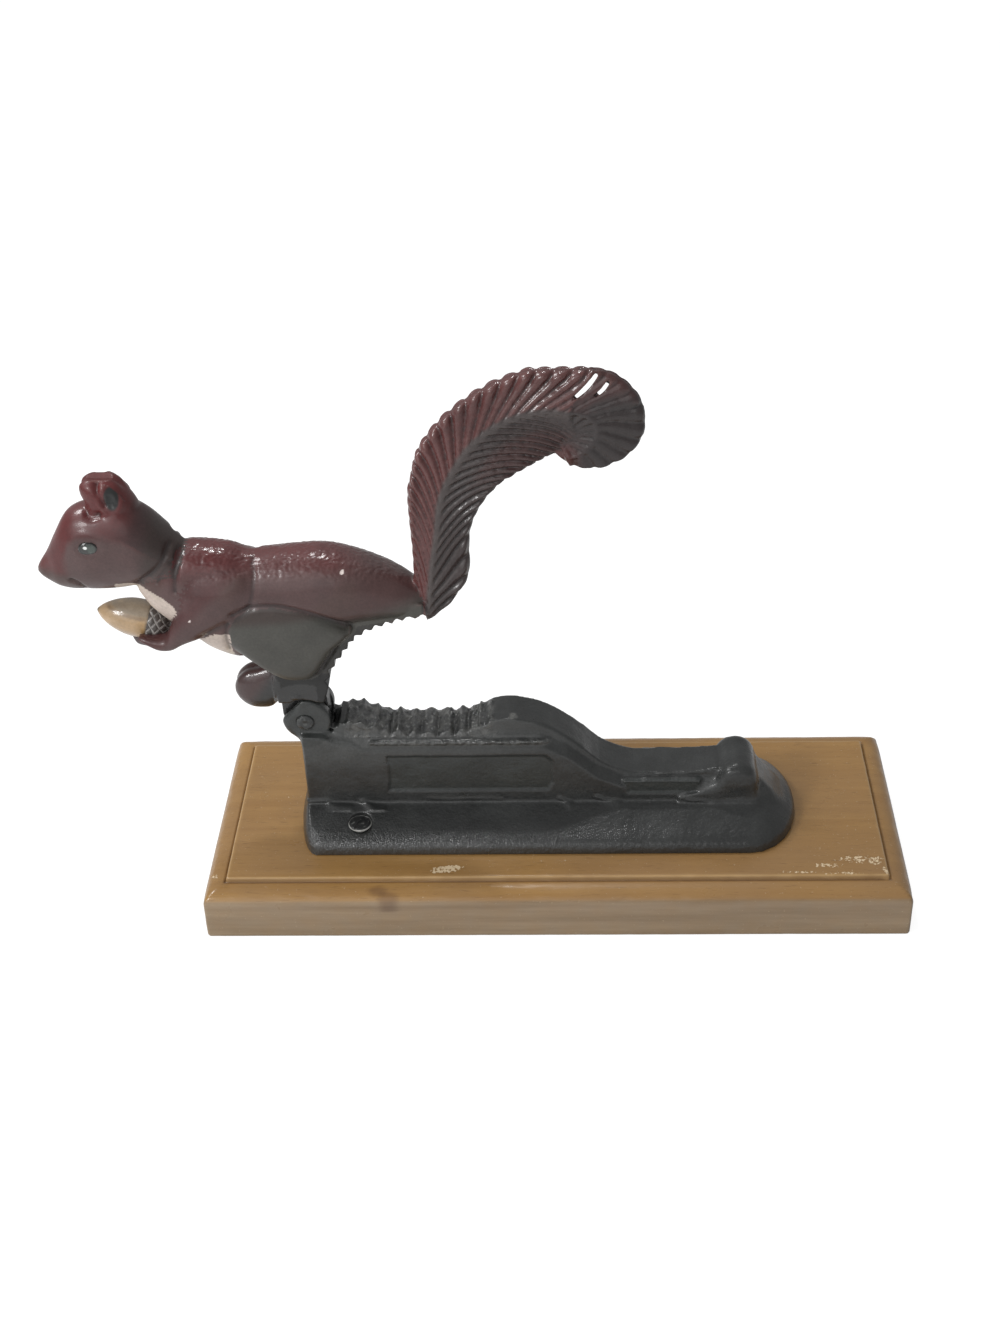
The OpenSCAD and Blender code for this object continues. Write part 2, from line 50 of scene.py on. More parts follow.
# Driving sizes, as in the part's source
BOARD = (121.0, 44.4, 20.3)          # half length, half width, thickness
BORDER, EDGE_H, STEP_H = 7.0, 14.0, 1.5
BODY_HW, HEAD_HW, HAUNCH_HW, ARM_HW, ARM_Y = 12.5, 10.6, 13.3, 5.2, 8.1
FOOT_HW, FOOT_Y = 4.0, 1.8
ACORN_TIP, ACORN_TILT, ACORN_L, ACORN_R = (-66.3, 42.9), 15.2, 25.6, 6.5
MIDRIB_HW, TAIL_EDGE_HW, RIBS, CURL_RIBS = 5.6, 1.9, 23, 9
EAR_R, SWING_GAP, TONGUE_HW = 8.7, 0.5, 3.3
PIN_R, EAR_FACE, RIVET_OUT = 2.5, 7.2, 1.2
SCREWS = {"screw_front": (-68.0, -17.3), "screw_rear": (68.0, 17.3)}
SCREW_R, SCREW_SHANK, SEAT_Z = 4.1, 2.1, 27.85
WALL_HW, FLANGE_HW, FLANGE_TOP, FLANGE_EDGE, BASE_FOOT = 9.7, 25.6, -33.9, -40.7, -44.7
TOOTH_START, TOOTH_PITCH = 34.2, 5.4

# Stations of the lofts: x, z, half height, share of the half thickness, and the lean if any
TORSO = [(-50, 55.5, 4, 0.4), (-46.5, 54.5, 8.6, 0.62), (-42, 53.5, 12.4, 0.76),
         (-36, 52.5, 16, 0.88), (-28, 48.8, 19.6, 0.96), (-20, 46.5, 20.8, 1),
         (-14, 46, 19, 0.98), (-7, 46.7, 18.4, 0.98), (2, 48.8, 17, 1),
         (11, 51.1, 15, 0.98), (20, 51.6, 12.3, 0.92), (29, 50.3, 9.9, 0.8),
         (37, 48, 7.8, 0.62), (43.9, 45.3, 4.6, 0.37)]
HEAD = [(-82.8, 59.5, 1.2, 0.12), (-81.2, 60, 3.2, 0.27), (-78.2, 61.2, 6.4, 0.44),
        (-75.2, 63.2, 9.8, 0.62), (-71.2, 66.2, 13.4, 0.8), (-67.2, 67.8, 15, 0.92),
        (-62.2, 68.5, 15.7, 1), (-56.2, 69.1, 16, 1), (-50.2, 69.4, 15.3, 0.98),
        (-44.2, 67.5, 12.8, 0.94), (-38.2, 63.9, 9.3, 0.86), (-33.2, 61, 7.3, 0.7)]
EAR_LOBE = [(-54.5, 80, 9, 0.62, -90), (-55, 84.5, 8, 0.58, -90),
            (-56.6, 88.5, 7.4, 0.56, -90), (-57.4, 91.5, 6.6, 0.48, -90),
            (-57.4, 93.5, 4.4, 0.3, -90)]
ARM = [(-23.4, 62.5, 6, 0.1, 90), (-23.3, 60.4, 10, 0.5, 90), (-23.6, 55.2, 12, 0.95, 92),
       (-25.5, 50, 11, 1, 110), (-29.7, 45.8, 7.8, 1, 130), (-34.3, 41.8, 5.8, 0.95, 140),
       (-38.3, 38.4, 4, 0.86, 150), (-41.7, 35.2, 2.8, 0.74, 162), (-45.5, 34.9, 2.4, 0.66, 168),
       (-49.2, 36, 1.6, 0.5, 166), (-51.6, 36.8, 0.8, 0.3, 165)]
HAUNCH = [(-20.6, 42), (-21, 35.5), (-18.3, 31), (-12.5, 25.4), (-6, 20.8), (0, 19.4),
          (5, 20.2), (8.8, 25.6), (12.8, 32), (17.8, 36.8), (19, 41), (13, 45),
          (3.8, 48.5), (-5.2, 50.3), (-13.2, 49.4), (-18, 46.4)]
FOOT = [(-23.4, 11.4, 1.6, 0.3), (-22, 11.4, 4.4, 0.66), (-19, 11.3, 7, 0.92),
        (-15, 11.4, 8, 1), (-11, 12.6, 8.4, 1), (-7, 16.4, 7, 0.9),
        (-4, 19, 5, 0.7)]
FINGER = [(1, 0.3, 1.2, 1.2, 180), (0, 0, 1.9, 1.9, 180), (-3, -0.9, 1.7, 1.7, 180),
          (-5.2, 0.1, 1.3, 1.3, 180), (-6.2, 0.6, 0.5, 0.5, 180)]
FINGER_ROOT, FINGER_STEP = np.array([-46.5, -7, 34.6]), np.array([-1.3, 0.7, -0.3])
FINGER_TURN = (-24, -29, -33, -38)
# Tail stations: outer edge, midrib and inner edge
TAIL = [[(40.4, 50.3), (44, 40.4), (50.3, 43.4)], [(40.8, 60.5), (45.4, 50.5), (57.6, 54.5)],
        [(40.7, 72.5), (47, 62.5), (58.8, 70.5)], [(40.7, 82.5), (48.8, 73.5), (62.3, 80.5)],
        [(42, 92.5), (50.6, 85.5), (68.3, 88.5)], [(45, 101.7), (54.8, 95.5), (75.8, 93.5)],
        [(52.3, 111.3), (60.3, 104), (81.8, 97)], [(62.8, 120), (67.3, 110.5), (86.8, 99.8)],
        [(74.8, 126), (75.3, 114.5), (90, 102.7)], [(86.8, 128.7), (83.8, 116), (92, 105)],
        [(97.8, 128.2), (90.8, 115), (93.4, 106.5)]]
CURL = [[(94.6, 127.6), (90.6, 115.6), (90.3, 108)],
        [(101.8, 127.4), (94.6, 114.6), (89.9, 107.6)],
        [(108.6, 123.2), (98.4, 112.4), (89.6, 107.2)],
        [(113.3, 116), (99.6, 109.5), (89.3, 106.8)],
        [(113.8, 106.5), (99.2, 106), (89, 106.3)],
        [(108.8, 98.8), (96.6, 102.6), (88.7, 105.8)],
        [(99.8, 95), (93.6, 100), (88.4, 105.3)],
        [(90.8, 96.3), (89.6, 99.6), (88, 104.8)]]
CURL_HEEL = [(84.6, 102, 0.8, 0.3), (86.4, 101.4, 2.0, 0.8), (88.6, 100, 2.7, 1),
             (91, 98.9, 2.8, 1), (93.5, 98.6, 1.6, 0.6)]
TAIL_LIMIT = 128.9     # the tail's highest edge, under the source's
# Slots between ribs: x, z, slope, half length, half width
RIB_SLOTS = [(96.1, 122.1, 49, 6.7, 0.72), (101.1, 121.3, 50, 4.1, 0.6)]
SLOT_LEAN = -0.52      # fall of the slots per mm away from the front
CHEST = [(-56, 62), (-49.2, 56.4), (-45.5, 55.3), (-41.2, 53.3), (-38, 50.6), (-36.9, 47.2),
         (-38.5, 43.5), (-42, 38), (-60, 30)]
# The line between the red crown and the cheek, greyed by a painted sheen
CROWN_LINE = [(-76, 60), (-69, 74), (-66, 76.6), (-58, 76.8), (-51, 75.6), (-42, 69), (-36, 64)]
# The leg and its hinge tongue, taken from the source's solid
LEG_BOX, LEG_HW = [(-9.6, -10), (9.4, -10), (9.4, 14), (46, 40), (46, 50), (-9.6, 50)], 7.05
LONG_PANEL = [(27.0, -28.8), (27.6, -20), (26.8, -13.3), (82.0, -13.6), (84.0, -16), (84.1, -26),
              (82.5, -28.9)]
SHORT_PANEL = [(110.2, -30.4), (108.2, -25.2), (135.6, -25.2), (134.4, -30.6)]
# Fillings of the source's deeper panels, and the paint under the knob
LONG_FILL = [(25, -30), (86, -30), (86, -16), (82, -12), (25, -12)]
SHORT_FILL, FILL_RUN, FILL_HW = [(106, -40), (138, -40), (138, -30.6), (106, -30.6)], (106, 138), 16
KNOB, KNOB_FOOT_HW = (148.3, -28), 10.6
KNOB_FOOT = [(128, -40), (128, -32), (136, -29.8), (141.5, -26), (144, -21.8), (148.3, -20.6),
             (152.6, -21.8), (155, -26.6), (155.3, -32), (158, -40)]
EYE, EAR_HOLLOW = (-62.3, -10.0, 72.8), (-53.3, 8.3, 88.2)
# Facets of the sculpted skins
LEVER_VOXEL, BASE_VOXEL = ((0.4, 0.45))


# ---- arrays and meshes ------------------------------------------------------------------

def spline(points, u):
    """Values u of the way (0 to 1) along a smooth curve through the points."""
    p = np.asarray(points, float)
    s = np.atleast_1d(u) * (len(p) - 1)
    i = np.minimum(np.floor(s).astype(int), len(p) - 2)
    t = (s - i).reshape((-1,) + (1,) * (p.ndim - 1))
    a, b, c, d = p[np.maximum(i - 1, 0)], p[i], p[i + 1], p[np.minimum(i + 2, len(p) - 1)]
    return 0.5 * (2 * b + (c - a) * t + (2 * a - 5 * b + 4 * c - d) * t ** 2
                  + (3 * b - a - 3 * c + d) * t ** 3)


def step(x, low, high):
    """0 below low, 1 above high, smooth between; low may be the larger."""
    t = np.clip((x - low) / (high - low), 0, 1)
    return t * t * (3 - 2 * t)


def grain(co, scale, seed=0.0, octaves=1):
    """Smooth noise from about -1 to 1 at each point; scale is in features per millimetre."""
    total = np.zeros(len(co))
    for o in range(octaves):
        f = scale * 2 ** o
        q = co * f + seed + 17.3 * o
        total += np.fromiter((noise.noise(v) for v in q.tolist()), float, len(q)) / 2 ** o
    return total


def around(sides):
    """That many angles, evenly round a circle."""
    return np.linspace(0, 2 * math.pi, sides, endpoint=False)


def skin(rings):
    """Vertices and faces of a stack of closed rings, with its two ends filled."""
    rings = np.asarray(rings, float)
    m, n = rings.shape[:2]
    k, j = np.meshgrid(np.arange(n), np.arange(m - 1))
    a, b = j * n + k, j * n + (k + 1) % n
    faces = np.stack([a, a + n, b + n, b], -1).reshape(-1, 4).tolist()
    faces += [list(range(n)), list(range((m - 1) * n, m * n))[::-1]]
    return rings.reshape(-1, 3), faces


def loft(stations, hw, square=2.2, y=0.0, sides=56, rings=90):
    """A body or limb through its stations, with sections between an ellipse and a box."""
    c, s = np.cos(around(sides)), np.sin(around(sides))
    c = np.sign(c) * np.abs(c) ** (2 / square)
    s = np.sign(s) * np.abs(s) ** (2 / square)
    stations = [(*station, 0)[:5] for station in stations]
    rows = []
    for x, z, high, share, lean in spline(stations, np.linspace(0, 1, rings)):
        lean = math.radians(lean)
        rows.append(np.stack([x + c * high * math.sin(lean), y - s * share * hw,
                              z + c * high * math.cos(lean)], -1))
    return skin(rows)


def pillow(outline, hw):
    """An outline pillowed on both sides: full size in the middle, drawn in at its faces."""
    p = np.array(outline, float)
    p = spline(np.vstack([p, p[:1]]), np.linspace(0, 1, 97))[:-1]
    mid = (p.min(0) + p.max(0)) / 2
    rows = []
    for t in np.linspace(-1, 1, 41):
        size = max(1 - abs(t) ** 7, 0) ** 0.45 * 0.42 + 0.58
        q = mid + (p - mid) * size
        rows.append(np.stack([q[:, 0], np.full(len(q), t * hw), q[:, 1]], -1))
    return skin(rows)


def mirrored(part):
    """A part on the other side of the middle plane."""
    verts, faces = part
    return verts * [1, -1, 1], [f[::-1] for f in faces]


def prism(outline, hw):
    """An x, z outline run across the middle, hw to each side."""
    return skin([[(x, y, z) for x, z in outline] for y in (-hw, hw)])


def cylinder_y(x, z, r, y0, y1, sides=64):
    """A cylinder along y."""
    a = around(sides)
    return skin([np.stack([x + r * np.cos(a), np.full(sides, y), z + r * np.sin(a)], -1)
                 for y in (y0, y1)])


def ellipsoid(centre, radii, sides=40):
    """An ellipsoid with its poles along y."""
    a = around(sides)
    rows = [np.stack([np.cos(a) * math.sin(t), np.full(sides, -math.cos(t)),
                      np.sin(a) * math.sin(t)], -1) * radii + centre
            for t in np.linspace(0.05, math.pi - 0.05, 24)]
    return skin(rows)


def merged(parts):
    """Several parts' vertices and faces as one."""
    verts, faces, start = [], [], 0
    for v, f in parts:
        verts.append(v)
        faces += [[i + start for i in face] for face in f]
        start += len(v)
    return np.vstack(verts), faces


def placed(name, data):
    """A new object with that data, in the scene."""
    obj = bpy.data.objects.new(name, data)
    bpy.context.scene.collection.objects.link(obj)
    return obj


def edited(mesh, edit):
    """mesh after one edit of it as a bmesh."""
    bm = bmesh.new()
    bm.from_mesh(mesh)
    edit(bm)
    bm.to_mesh(mesh)
    bm.free()
    return mesh


def mesh_of(part, outward=True):
    """A mesh of a part's vertices and faces, its faces turned outwards if asked."""
    verts, faces = part
    mesh = bpy.data.meshes.new("part")
    mesh.from_pydata(np.asarray(verts, float).tolist(), [], faces)
    mesh.validate()
    if outward:
        edited(mesh, lambda bm: bmesh.ops.recalc_face_normals(bm, faces=bm.faces))
    return mesh


def part_of(mesh):
    """A mesh's vertices and faces."""
    return coords(mesh), [list(p.vertices) for p in mesh.polygons]


def coords(mesh):
    """A mesh's points, one row each."""
    co = np.empty(len(mesh.vertices) * 3)
    mesh.vertices.foreach_get("co", co)
    return co.reshape(-1, 3)


def normals(mesh, co=None):
    """The normals at a mesh's points, which are first moved to co if given."""
    if co is not None:
        mesh.vertices.foreach_set("co", np.ascontiguousarray(co).ravel())
        mesh.update()
    n = np.empty(len(mesh.vertices) * 3)
    mesh.vertices.foreach_get("normal", n)
    return n.reshape(-1, 3)


def with_modifiers(obj):
    """obj's mesh with its modifiers applied; obj itself goes."""
    bpy.context.view_layer.update()
    graph = bpy.context.evaluated_depsgraph_get()
    mesh = bpy.data.meshes.new_from_object(obj.evaluated_get(graph))
    bpy.data.objects.remove(obj)
    return mesh


def boolean(mesh, cutter, operation):
    """mesh with the closed part `cutter` taken off it, or kept only inside it."""
    tool = placed("tool", mesh_of(cutter))
    obj = placed("work", mesh)
    cut = obj.modifiers.new("cut", "BOOLEAN")
    cut.operation, cut.object, cut.solver = operation, tool, "EXACT"
    mesh = with_modifiers(obj)
    bpy.data.objects.remove(tool)
    return mesh


def remeshed(mesh, voxel):
    """One closed skin round a mesh, in even facets of about a voxel."""
    obj = placed("work", mesh)
    mod = obj.modifiers.new("voxel", "REMESH")
    mod.mode, mod.voxel_size, mod.use_smooth_shade = "VOXEL", voxel, True
    return with_modifiers(obj)


def edge_ends(mesh):
    """The two points of each of a mesh's edges."""
    e = np.empty(len(mesh.edges) * 2, int)
    mesh.edges.foreach_get("vertices", e)
    return e.reshape(-1, 2)


def neighbour_mean(values, ends):
    """Mean of each vertex's neighbours' values."""
    n = len(values)
    a, b = ends[:, 0], ends[:, 1]
    count = np.maximum(np.bincount(a, minlength=n) + np.bincount(b, minlength=n), 1)
    flat = values.reshape(n, -1)
    total = np.stack([np.bincount(a, flat[b, i], n) + np.bincount(b, flat[a, i], n)
                      for i in range(flat.shape[1])], -1)
    return (total / count[:, None]).reshape(values.shape)


def relaxed(co, ends, rounds, weight=1.0, back=0.52):
    """Smooths a skin: each round moves in and then `back` out again, so that it hardly
    shrinks. With back at 0 it also melts corners away."""
    weight = np.broadcast_to(weight, len(co))[:, None]
    for _ in range(rounds):
        co = co + 0.5 * weight * (neighbour_mean(co, ends) - co)
        if back:
            co = co - back * weight * (neighbour_mean(co, ends) - co)
    return co


def cavity(co, n, ends, rounds=2):
    """How far each point lies in a hollow (positive) or on a ridge (negative), in mm."""
    c = ((neighbour_mean(co, ends) - co) * n).sum(1)
    for _ in range(rounds):
        c = 0.5 * c + 0.5 * neighbour_mean(c, ends)
    return c


def line_distance(co, path):
    """Distance in the x, z plane from each point to a smooth line."""
    p = spline(path, np.linspace(0, 1, 6 * len(path)))
    q = co[:, [0, 2]]
    best = np.full(len(q), 1e9)
    for a, b in zip(p[:-1], p[1:]):
        d = b - a
        t = np.clip(((q - a) @ d) / max(d @ d, 1e-9), 0, 1)
        best = np.minimum(best, np.linalg.norm(q - a - t[:, None] * d, axis=1))
    return best


def inside(co, outline):
    """Which points lie inside an x, z outline."""
    x, z = co[:, 0], co[:, 2]
    hit = np.zeros(len(co), bool)
    for (xa, za), (xb, zb) in zip(outline, outline[1:] + outline[:1]):
        cross = (za > z) != (zb > z)
        hit ^= cross & (x < (xb - xa) * (z - za) / ((zb - za) or 1e-9) + xa)
    return hit


def near(co, centre, radii):
    """1 at a centre, falling smoothly to 0 at the radii round it."""
    d = np.linalg.norm((co - centre) / radii, axis=1)
    return step(d, 1.0, 0.0)


def mix(colours, other, share):
    """Colours, or one colour, with another over them by its share at each point."""
    share = np.clip(np.asarray(share, float), 0, 1)[:, None]
    return np.asarray(colours, float) + (np.asarray(other) - colours) * share


def layered(colours, layers):
    """Colours with layers of paint over them, each a colour and its share at each point."""
    for colour, share in layers:
        colours = mix(colours, colour, share)
    return colours


def finished(name, mesh, co, material, body, stands_for, origin=HINGE, paint=None):
    """Sets a mesh in the frame as a piece, with its finish and what it stands for."""
    mesh.vertices.foreach_set("co", np.ascontiguousarray((co + origin) * MM).ravel())
    mesh.update()
    for attribute, values in (paint or {}).items():
        if values.ndim == 2:
            rgba = np.ones((len(values), 4), np.float32)
            rgba[:, :values.shape[1]] = np.clip(values, 0, 1)
            made = mesh.attributes.new(attribute, "FLOAT_COLOR", "POINT")
            made.data.foreach_set("color", rgba.ravel())
        else:
            made = mesh.attributes.new(attribute, "FLOAT", "POINT")
            made.data.foreach_set("value", values.astype(np.float32))
    mesh.polygons.foreach_set("use_smooth", [True] * len(mesh.polygons))
    mesh.materials.clear()
    mesh.materials.append(material)
    mesh.name = name
    obj = placed(name, mesh)
    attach(obj, body)
    if stands_for:
        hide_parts(*stands_for)
    return obj


def cad_mesh(node):
    """A copy of a CAD node's mesh, welded, in millimetres from the hinge."""
    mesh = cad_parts[node].data.copy()
    edited(mesh, lambda bm: bmesh.ops.remove_doubles(bm, verts=bm.verts, dist=2e-6))
    co = coords(mesh) / MM - HINGE
    mesh.vertices.foreach_set("co", co.ravel())
    mesh.update()
    return mesh


# ---- materials --------------------------------------------------------------------------

def node(tree, kind, inputs=(), **settings):
    """A shader node with its inputs linked or set."""
    made = tree.nodes.new("ShaderNode" + kind)
    for key, value in settings.items():
        setattr(made, key, value)
    for key, value in dict(inputs).items():
        if isinstance(value, bpy.types.NodeSocket):
            tree.links.new(value, made.inputs[key])
        else:
            made.inputs[key].default_value = value
    return made


def new_material(name):
    """An empty node material and its tree."""
    material = bpy.data.materials.new(name)
    material.use_nodes = True
    material.node_tree.nodes.clear()
    return material, material.node_tree


def noise_at(tree, where, scale, detail=3.0, rough=0.55):
    """Noise, from 0 to 1."""
    return node(tree, "TexNoise", {"Vector": where, "Scale": scale, "Detail": detail,
                                   "Roughness": rough}).outputs["Fac"]


def ranged(tree, value, low, high, out_low, out_high):
    """A value from one range stretched to another, and held inside it."""
    return node(tree, "MapRange", {"Value": value, "From Min": low, "From Max": high,
                                   "To Min": out_low, "To Max": out_high}).outputs["Result"]


def maths(tree, operation, a, b):
    return node(tree, "Math", {0: a, 1: b}, operation=operation).outputs[0]


def blend_colour(tree, factor, a, b, kind="MIX"):
    """Colour b over colour a by a factor."""
    made = tree.nodes.new("ShaderNodeMix")
    made.data_type, made.blend_type = "RGBA", kind
    for socket, value in ((made.inputs[0], factor), (made.inputs[6], a), (made.inputs[7], b)):
        if isinstance(value, bpy.types.NodeSocket):
            tree.links.new(value, socket)
        else:
            socket.default_value = value
    return made.outputs[2]


def grey(v):
    return (v, v, v, 1.0)


def enamel(name, speckle, rough, grains, coat, lift):
    """Brushed or dipped enamel over rough casting. The piece's own paint gives the colour and,
    as its fourth value, how gritty and glossy it is; grains are the bump's [scale, height]."""
    material, tree = new_material(name)
    where = node(tree, "TexCoord").outputs["Object"]
    paint = node(tree, "Attribute", attribute_name="paint").outputs
    broad = ranged(tree, noise_at(tree, where, 90, 4), 0.3, 0.7, 1 - speckle, 1 + speckle)
    fine = ranged(tree, noise_at(tree, where, 1300, 3), 0.3, 0.75, 1 - lift, 1 + lift)
    colour = blend_colour(tree, 1.0, paint["Color"], maths(tree, "MULTIPLY", broad, fine),
                          "MULTIPLY")
    roughness = ranged(tree, noise_at(tree, where, 160, 4, 0.65), 0.32, 0.7, *rough)
    height = None
    for scale, size in grains:
        part = maths(tree, "MULTIPLY", noise_at(tree, where, scale, 2), size)
        height = part if height is None else maths(tree, "ADD", height, part)
    height = maths(tree, "MULTIPLY", height, paint["Alpha"])
    bump = node(tree, "Bump", {"Height": height, "Strength": 1.0, "Distance": 1.0})
    shader = node(tree, "BsdfPrincipled", {
        "Base Color": colour, "Roughness": roughness, "IOR": 1.5,
        "Coat Weight": maths(tree, "MULTIPLY", paint["Alpha"], coat), "Coat Roughness": 0.1,
        "Normal": bump.outputs[0], "Coat Normal": bump.outputs[0]})
    node(tree, "OutputMaterial", {"Surface": shader.outputs[0]})
    return material


def wood():
    """Satin varnished hardwood: grain along X, pores, worn chips and darker cut edges, stains,
    painted shade in the groove and on the right end, and a painted highlight along the bevel.
    """
    material, tree = new_material("varnished_wood")
    where = node(tree, "TexCoord").outputs["Object"]
    wear_and_shade, side, glow = (node(tree, "Attribute", attribute_name=name).outputs["Fac"]
                        for name in ("wear_and_shade", "side", "glow"))
    along = node(tree, "Mapping", {"Vector": where, "Scale": (0.06, 1.0, 1.0)}).outputs[0]
    finer = node(tree, "Mapping", {"Vector": where, "Scale": (0.09, 1.0, 1.0)}).outputs[0]
    streak = noise_at(tree, along, 240, 6, 0.62)
    bands = noise_at(tree, along, 70, 3, 0.5)
    blotch = noise_at(tree, where, 22, 3, 0.5)
    pores = noise_at(tree, finer, 2300, 2, 0.6)
    top = blend_colour(tree, ranged(tree, streak, 0.3, 0.72, 0.0, 1.0),
                       (0.300, 0.158, 0.046, 1), (0.400, 0.228, 0.076, 1))
    for value, low, high, tint in ((bands, 0.35, 0.7, (0.340, 0.190, 0.066, 1)),
                                   (blotch, 0.42, 0.70, (0.270, 0.158, 0.072, 1)),
                                   (pores, 0.60, 0.74, (0.130, 0.070, 0.028, 1))):
        top = blend_colour(tree, ranged(tree, value, low, high, 0.0, 0.5), top, tint)
    edge = blend_colour(tree, ranged(tree, streak, 0.3, 0.7, 0.0, 1.0),
                        (0.240, 0.172, 0.104, 1), (0.350, 0.262, 0.172, 1))
    rough_wear = ranged(tree, noise_at(tree, where, 1100, 3), 0.3, 0.7, -0.32, 0.32)
    worn = maths(tree, "ADD", wear_and_shade, rough_wear)
    # Stains and painted shade: a dark tint where the board's value is low
    stain_and_shade = maths(tree, "MULTIPLY", ranged(tree, wear_and_shade, 0.0, 0.5, 1.0, 0.0), 0.72)
    colour = blend_colour(tree, side, top, edge)
    # Painted highlight along the panel's bevel, then stains and painted shade, then bare wood in
    # the chips
    for share, tint in ((maths(tree, "MULTIPLY", glow, 0.75), (0.560, 0.370, 0.170, 1)),
                        (stain_and_shade, (0.080, 0.030, 0.014, 1)),
                        (ranged(tree, worn, 0.80, 0.88, 0.0, 1.0), (0.72, 0.56, 0.36, 1))):
        colour = blend_colour(tree, share, colour, tint)
    height = maths(tree, "MULTIPLY", streak, 0.00006)
    for value, size in ((pores, -0.00005), (ranged(tree, worn, 0.76, 0.9, 0.0, 1.0), -0.0001)):
        height = maths(tree, "ADD", height, maths(tree, "MULTIPLY", value, size))
    bump = node(tree, "Bump", {"Height": height, "Strength": 0.8, "Distance": 1.0})
    roughness = ranged(tree, noise_at(tree, where, 60, 4), 0.3, 0.7, 0.26, 0.42)
    shader = node(tree, "BsdfPrincipled", {
        "Base Color": colour, "Roughness": roughness, "IOR": 1.45, "Coat Weight": 0.35,
        "Coat Roughness": 0.18, "Normal": bump.outputs[0]})
    node(tree, "OutputMaterial", {"Surface": shader.outputs[0]})
    return material


RED_ENAMEL = enamel("squirrel_enamel", 0.16, (0.34, 0.5),
                    [(420, 0.00008), (1500, 0.00006)], 0.7, 0.12)
BLACK_ENAMEL = enamel("black_casting_enamel", 0.22, (0.26, 0.42),
                      [(700, 0.00014), (1700, 0.00026), (3600, 0.0001)], 1.0, 0.2)
ACORN_PAINT = enamel("acorn_paint", 0.16, (0.32, 0.46),
                     [(600, 0.00006), (1800, 0.00003)], 0.6, 0.1)
EYE_GLASS = enamel("eye_paint", 0.08, (0.08, 0.16), [(900, 0.00001)], 0.9, 0.05)
DARK_STEEL = enamel("darkened_steel", 0.25, (0.3, 0.5),
                    [(900, 0.00008), (2600, 0.00006)], 0.25, 0.25)
WOOD = wood()

RED = (0.100, 0.017, 0.017)
OLIVE = (0.060, 0.058, 0.050)
BLACK = (0.013, 0.013, 0.013)
CREAM = (0.56, 0.47, 0.41)
# Dull grey-red: a painted sheen of reflected light over the red, on the cheeks and flanks
PAINTED_SHEEN = (0.088, 0.052, 0.050)
TAIL_RED = (0.098, 0.030, 0.028)
TAIL_BAND = (0.060, 0.046, 0.044)
TAIL_DARK = (0.040, 0.027, 0.026)
PAINT_CHIPS = [(17.8, 61.6, 0.6), (-32.7, 46.3, 0.4)]     # x, z and radius


# ---- squirrel lever ---------------------------------------------------------------------

def feather(run, ribs, mid_from, mid_to, seed, lean_out, lean_in, depth=1.0, grow=1.5):
    """A ribbed length of tail. Ribs leave the band along the midrib at a slant, bow outwards
    and end in round tips. The leans say how many ribs further towards the tail's tip a rib
    ends than it starts, at the start and at the end of the run; grow moves the outer edge."""
    per, across = 14, 27            # points along each rib's width, and from midrib to edge
    u = np.linspace(0, 1, ribs * per + 1)
    w = np.linspace(0, 1, across)
    outer, mid, inner = (spline([s[i] for s in run], u) for i in range(3))
    uneven = np.array([noise.noise((seed, 3.1 * r, 0)) for r in range(ribs + 24)])
    hw_mid = mid_from + (mid_to - mid_from) * u

    def side(edge, lean, high, sharp, past):
        lean = (lean[0] + (lean[1] - lean[0]) * u)[:, None]
        phase = ribs * u[:, None] - lean * (1 - (1 - w[None]) ** 1.7)
        size = 1 + 0.35 * uneven[np.floor(phase).astype(int) + 12]
        leaf = np.abs(np.sin(math.pi * phase)) ** sharp * size
        reach = edge - mid
        reach /= np.linalg.norm(reach, axis=1)[:, None]
        edge = edge + reach * (past + (leaf[:, -1] - 0.7) * 0.3 * depth)[:, None]
        edge[:, 1] = np.minimum(edge[:, 1], TAIL_LIMIT)
        line = mid[:, None] + (edge - mid)[:, None] * w[None, :, None]
        half = hw_mid[:, None] + (TAIL_EDGE_HW - hw_mid[:, None]) * w[None] ** 0.9
        half = half + (leaf - 0.6) * high * depth * step(w, 0.0, 0.12)[None]
        half = half + 0.3 * (1 - step(w, 0.02, 0.1))[None]
        half = half + 0.45 * depth * np.exp(-((w - 0.82) / 0.1) ** 2)[None] * leaf
        return line, half * (1 - 0.55 * step(w, 0.88, 1.0) ** 2)[None]

    lo, ho = side(outer, lean_out, 1.7, 0.6, grow)
    li, hi = side(inner, lean_in, 1.45, 1.0, 0.2)
    line = np.concatenate([lo[:, ::-1], li[:, 1:]], 1)
    half = np.concatenate([ho[:, ::-1], hi[:, 1:]], 1)
    near_side = np.stack([line[..., 0], -half, line[..., 1]], -1)
    far_side = np.stack([line[..., 0], half, line[..., 1]], -1)[:, ::-1]
    return skin(np.concatenate([near_side, far_side], 1))


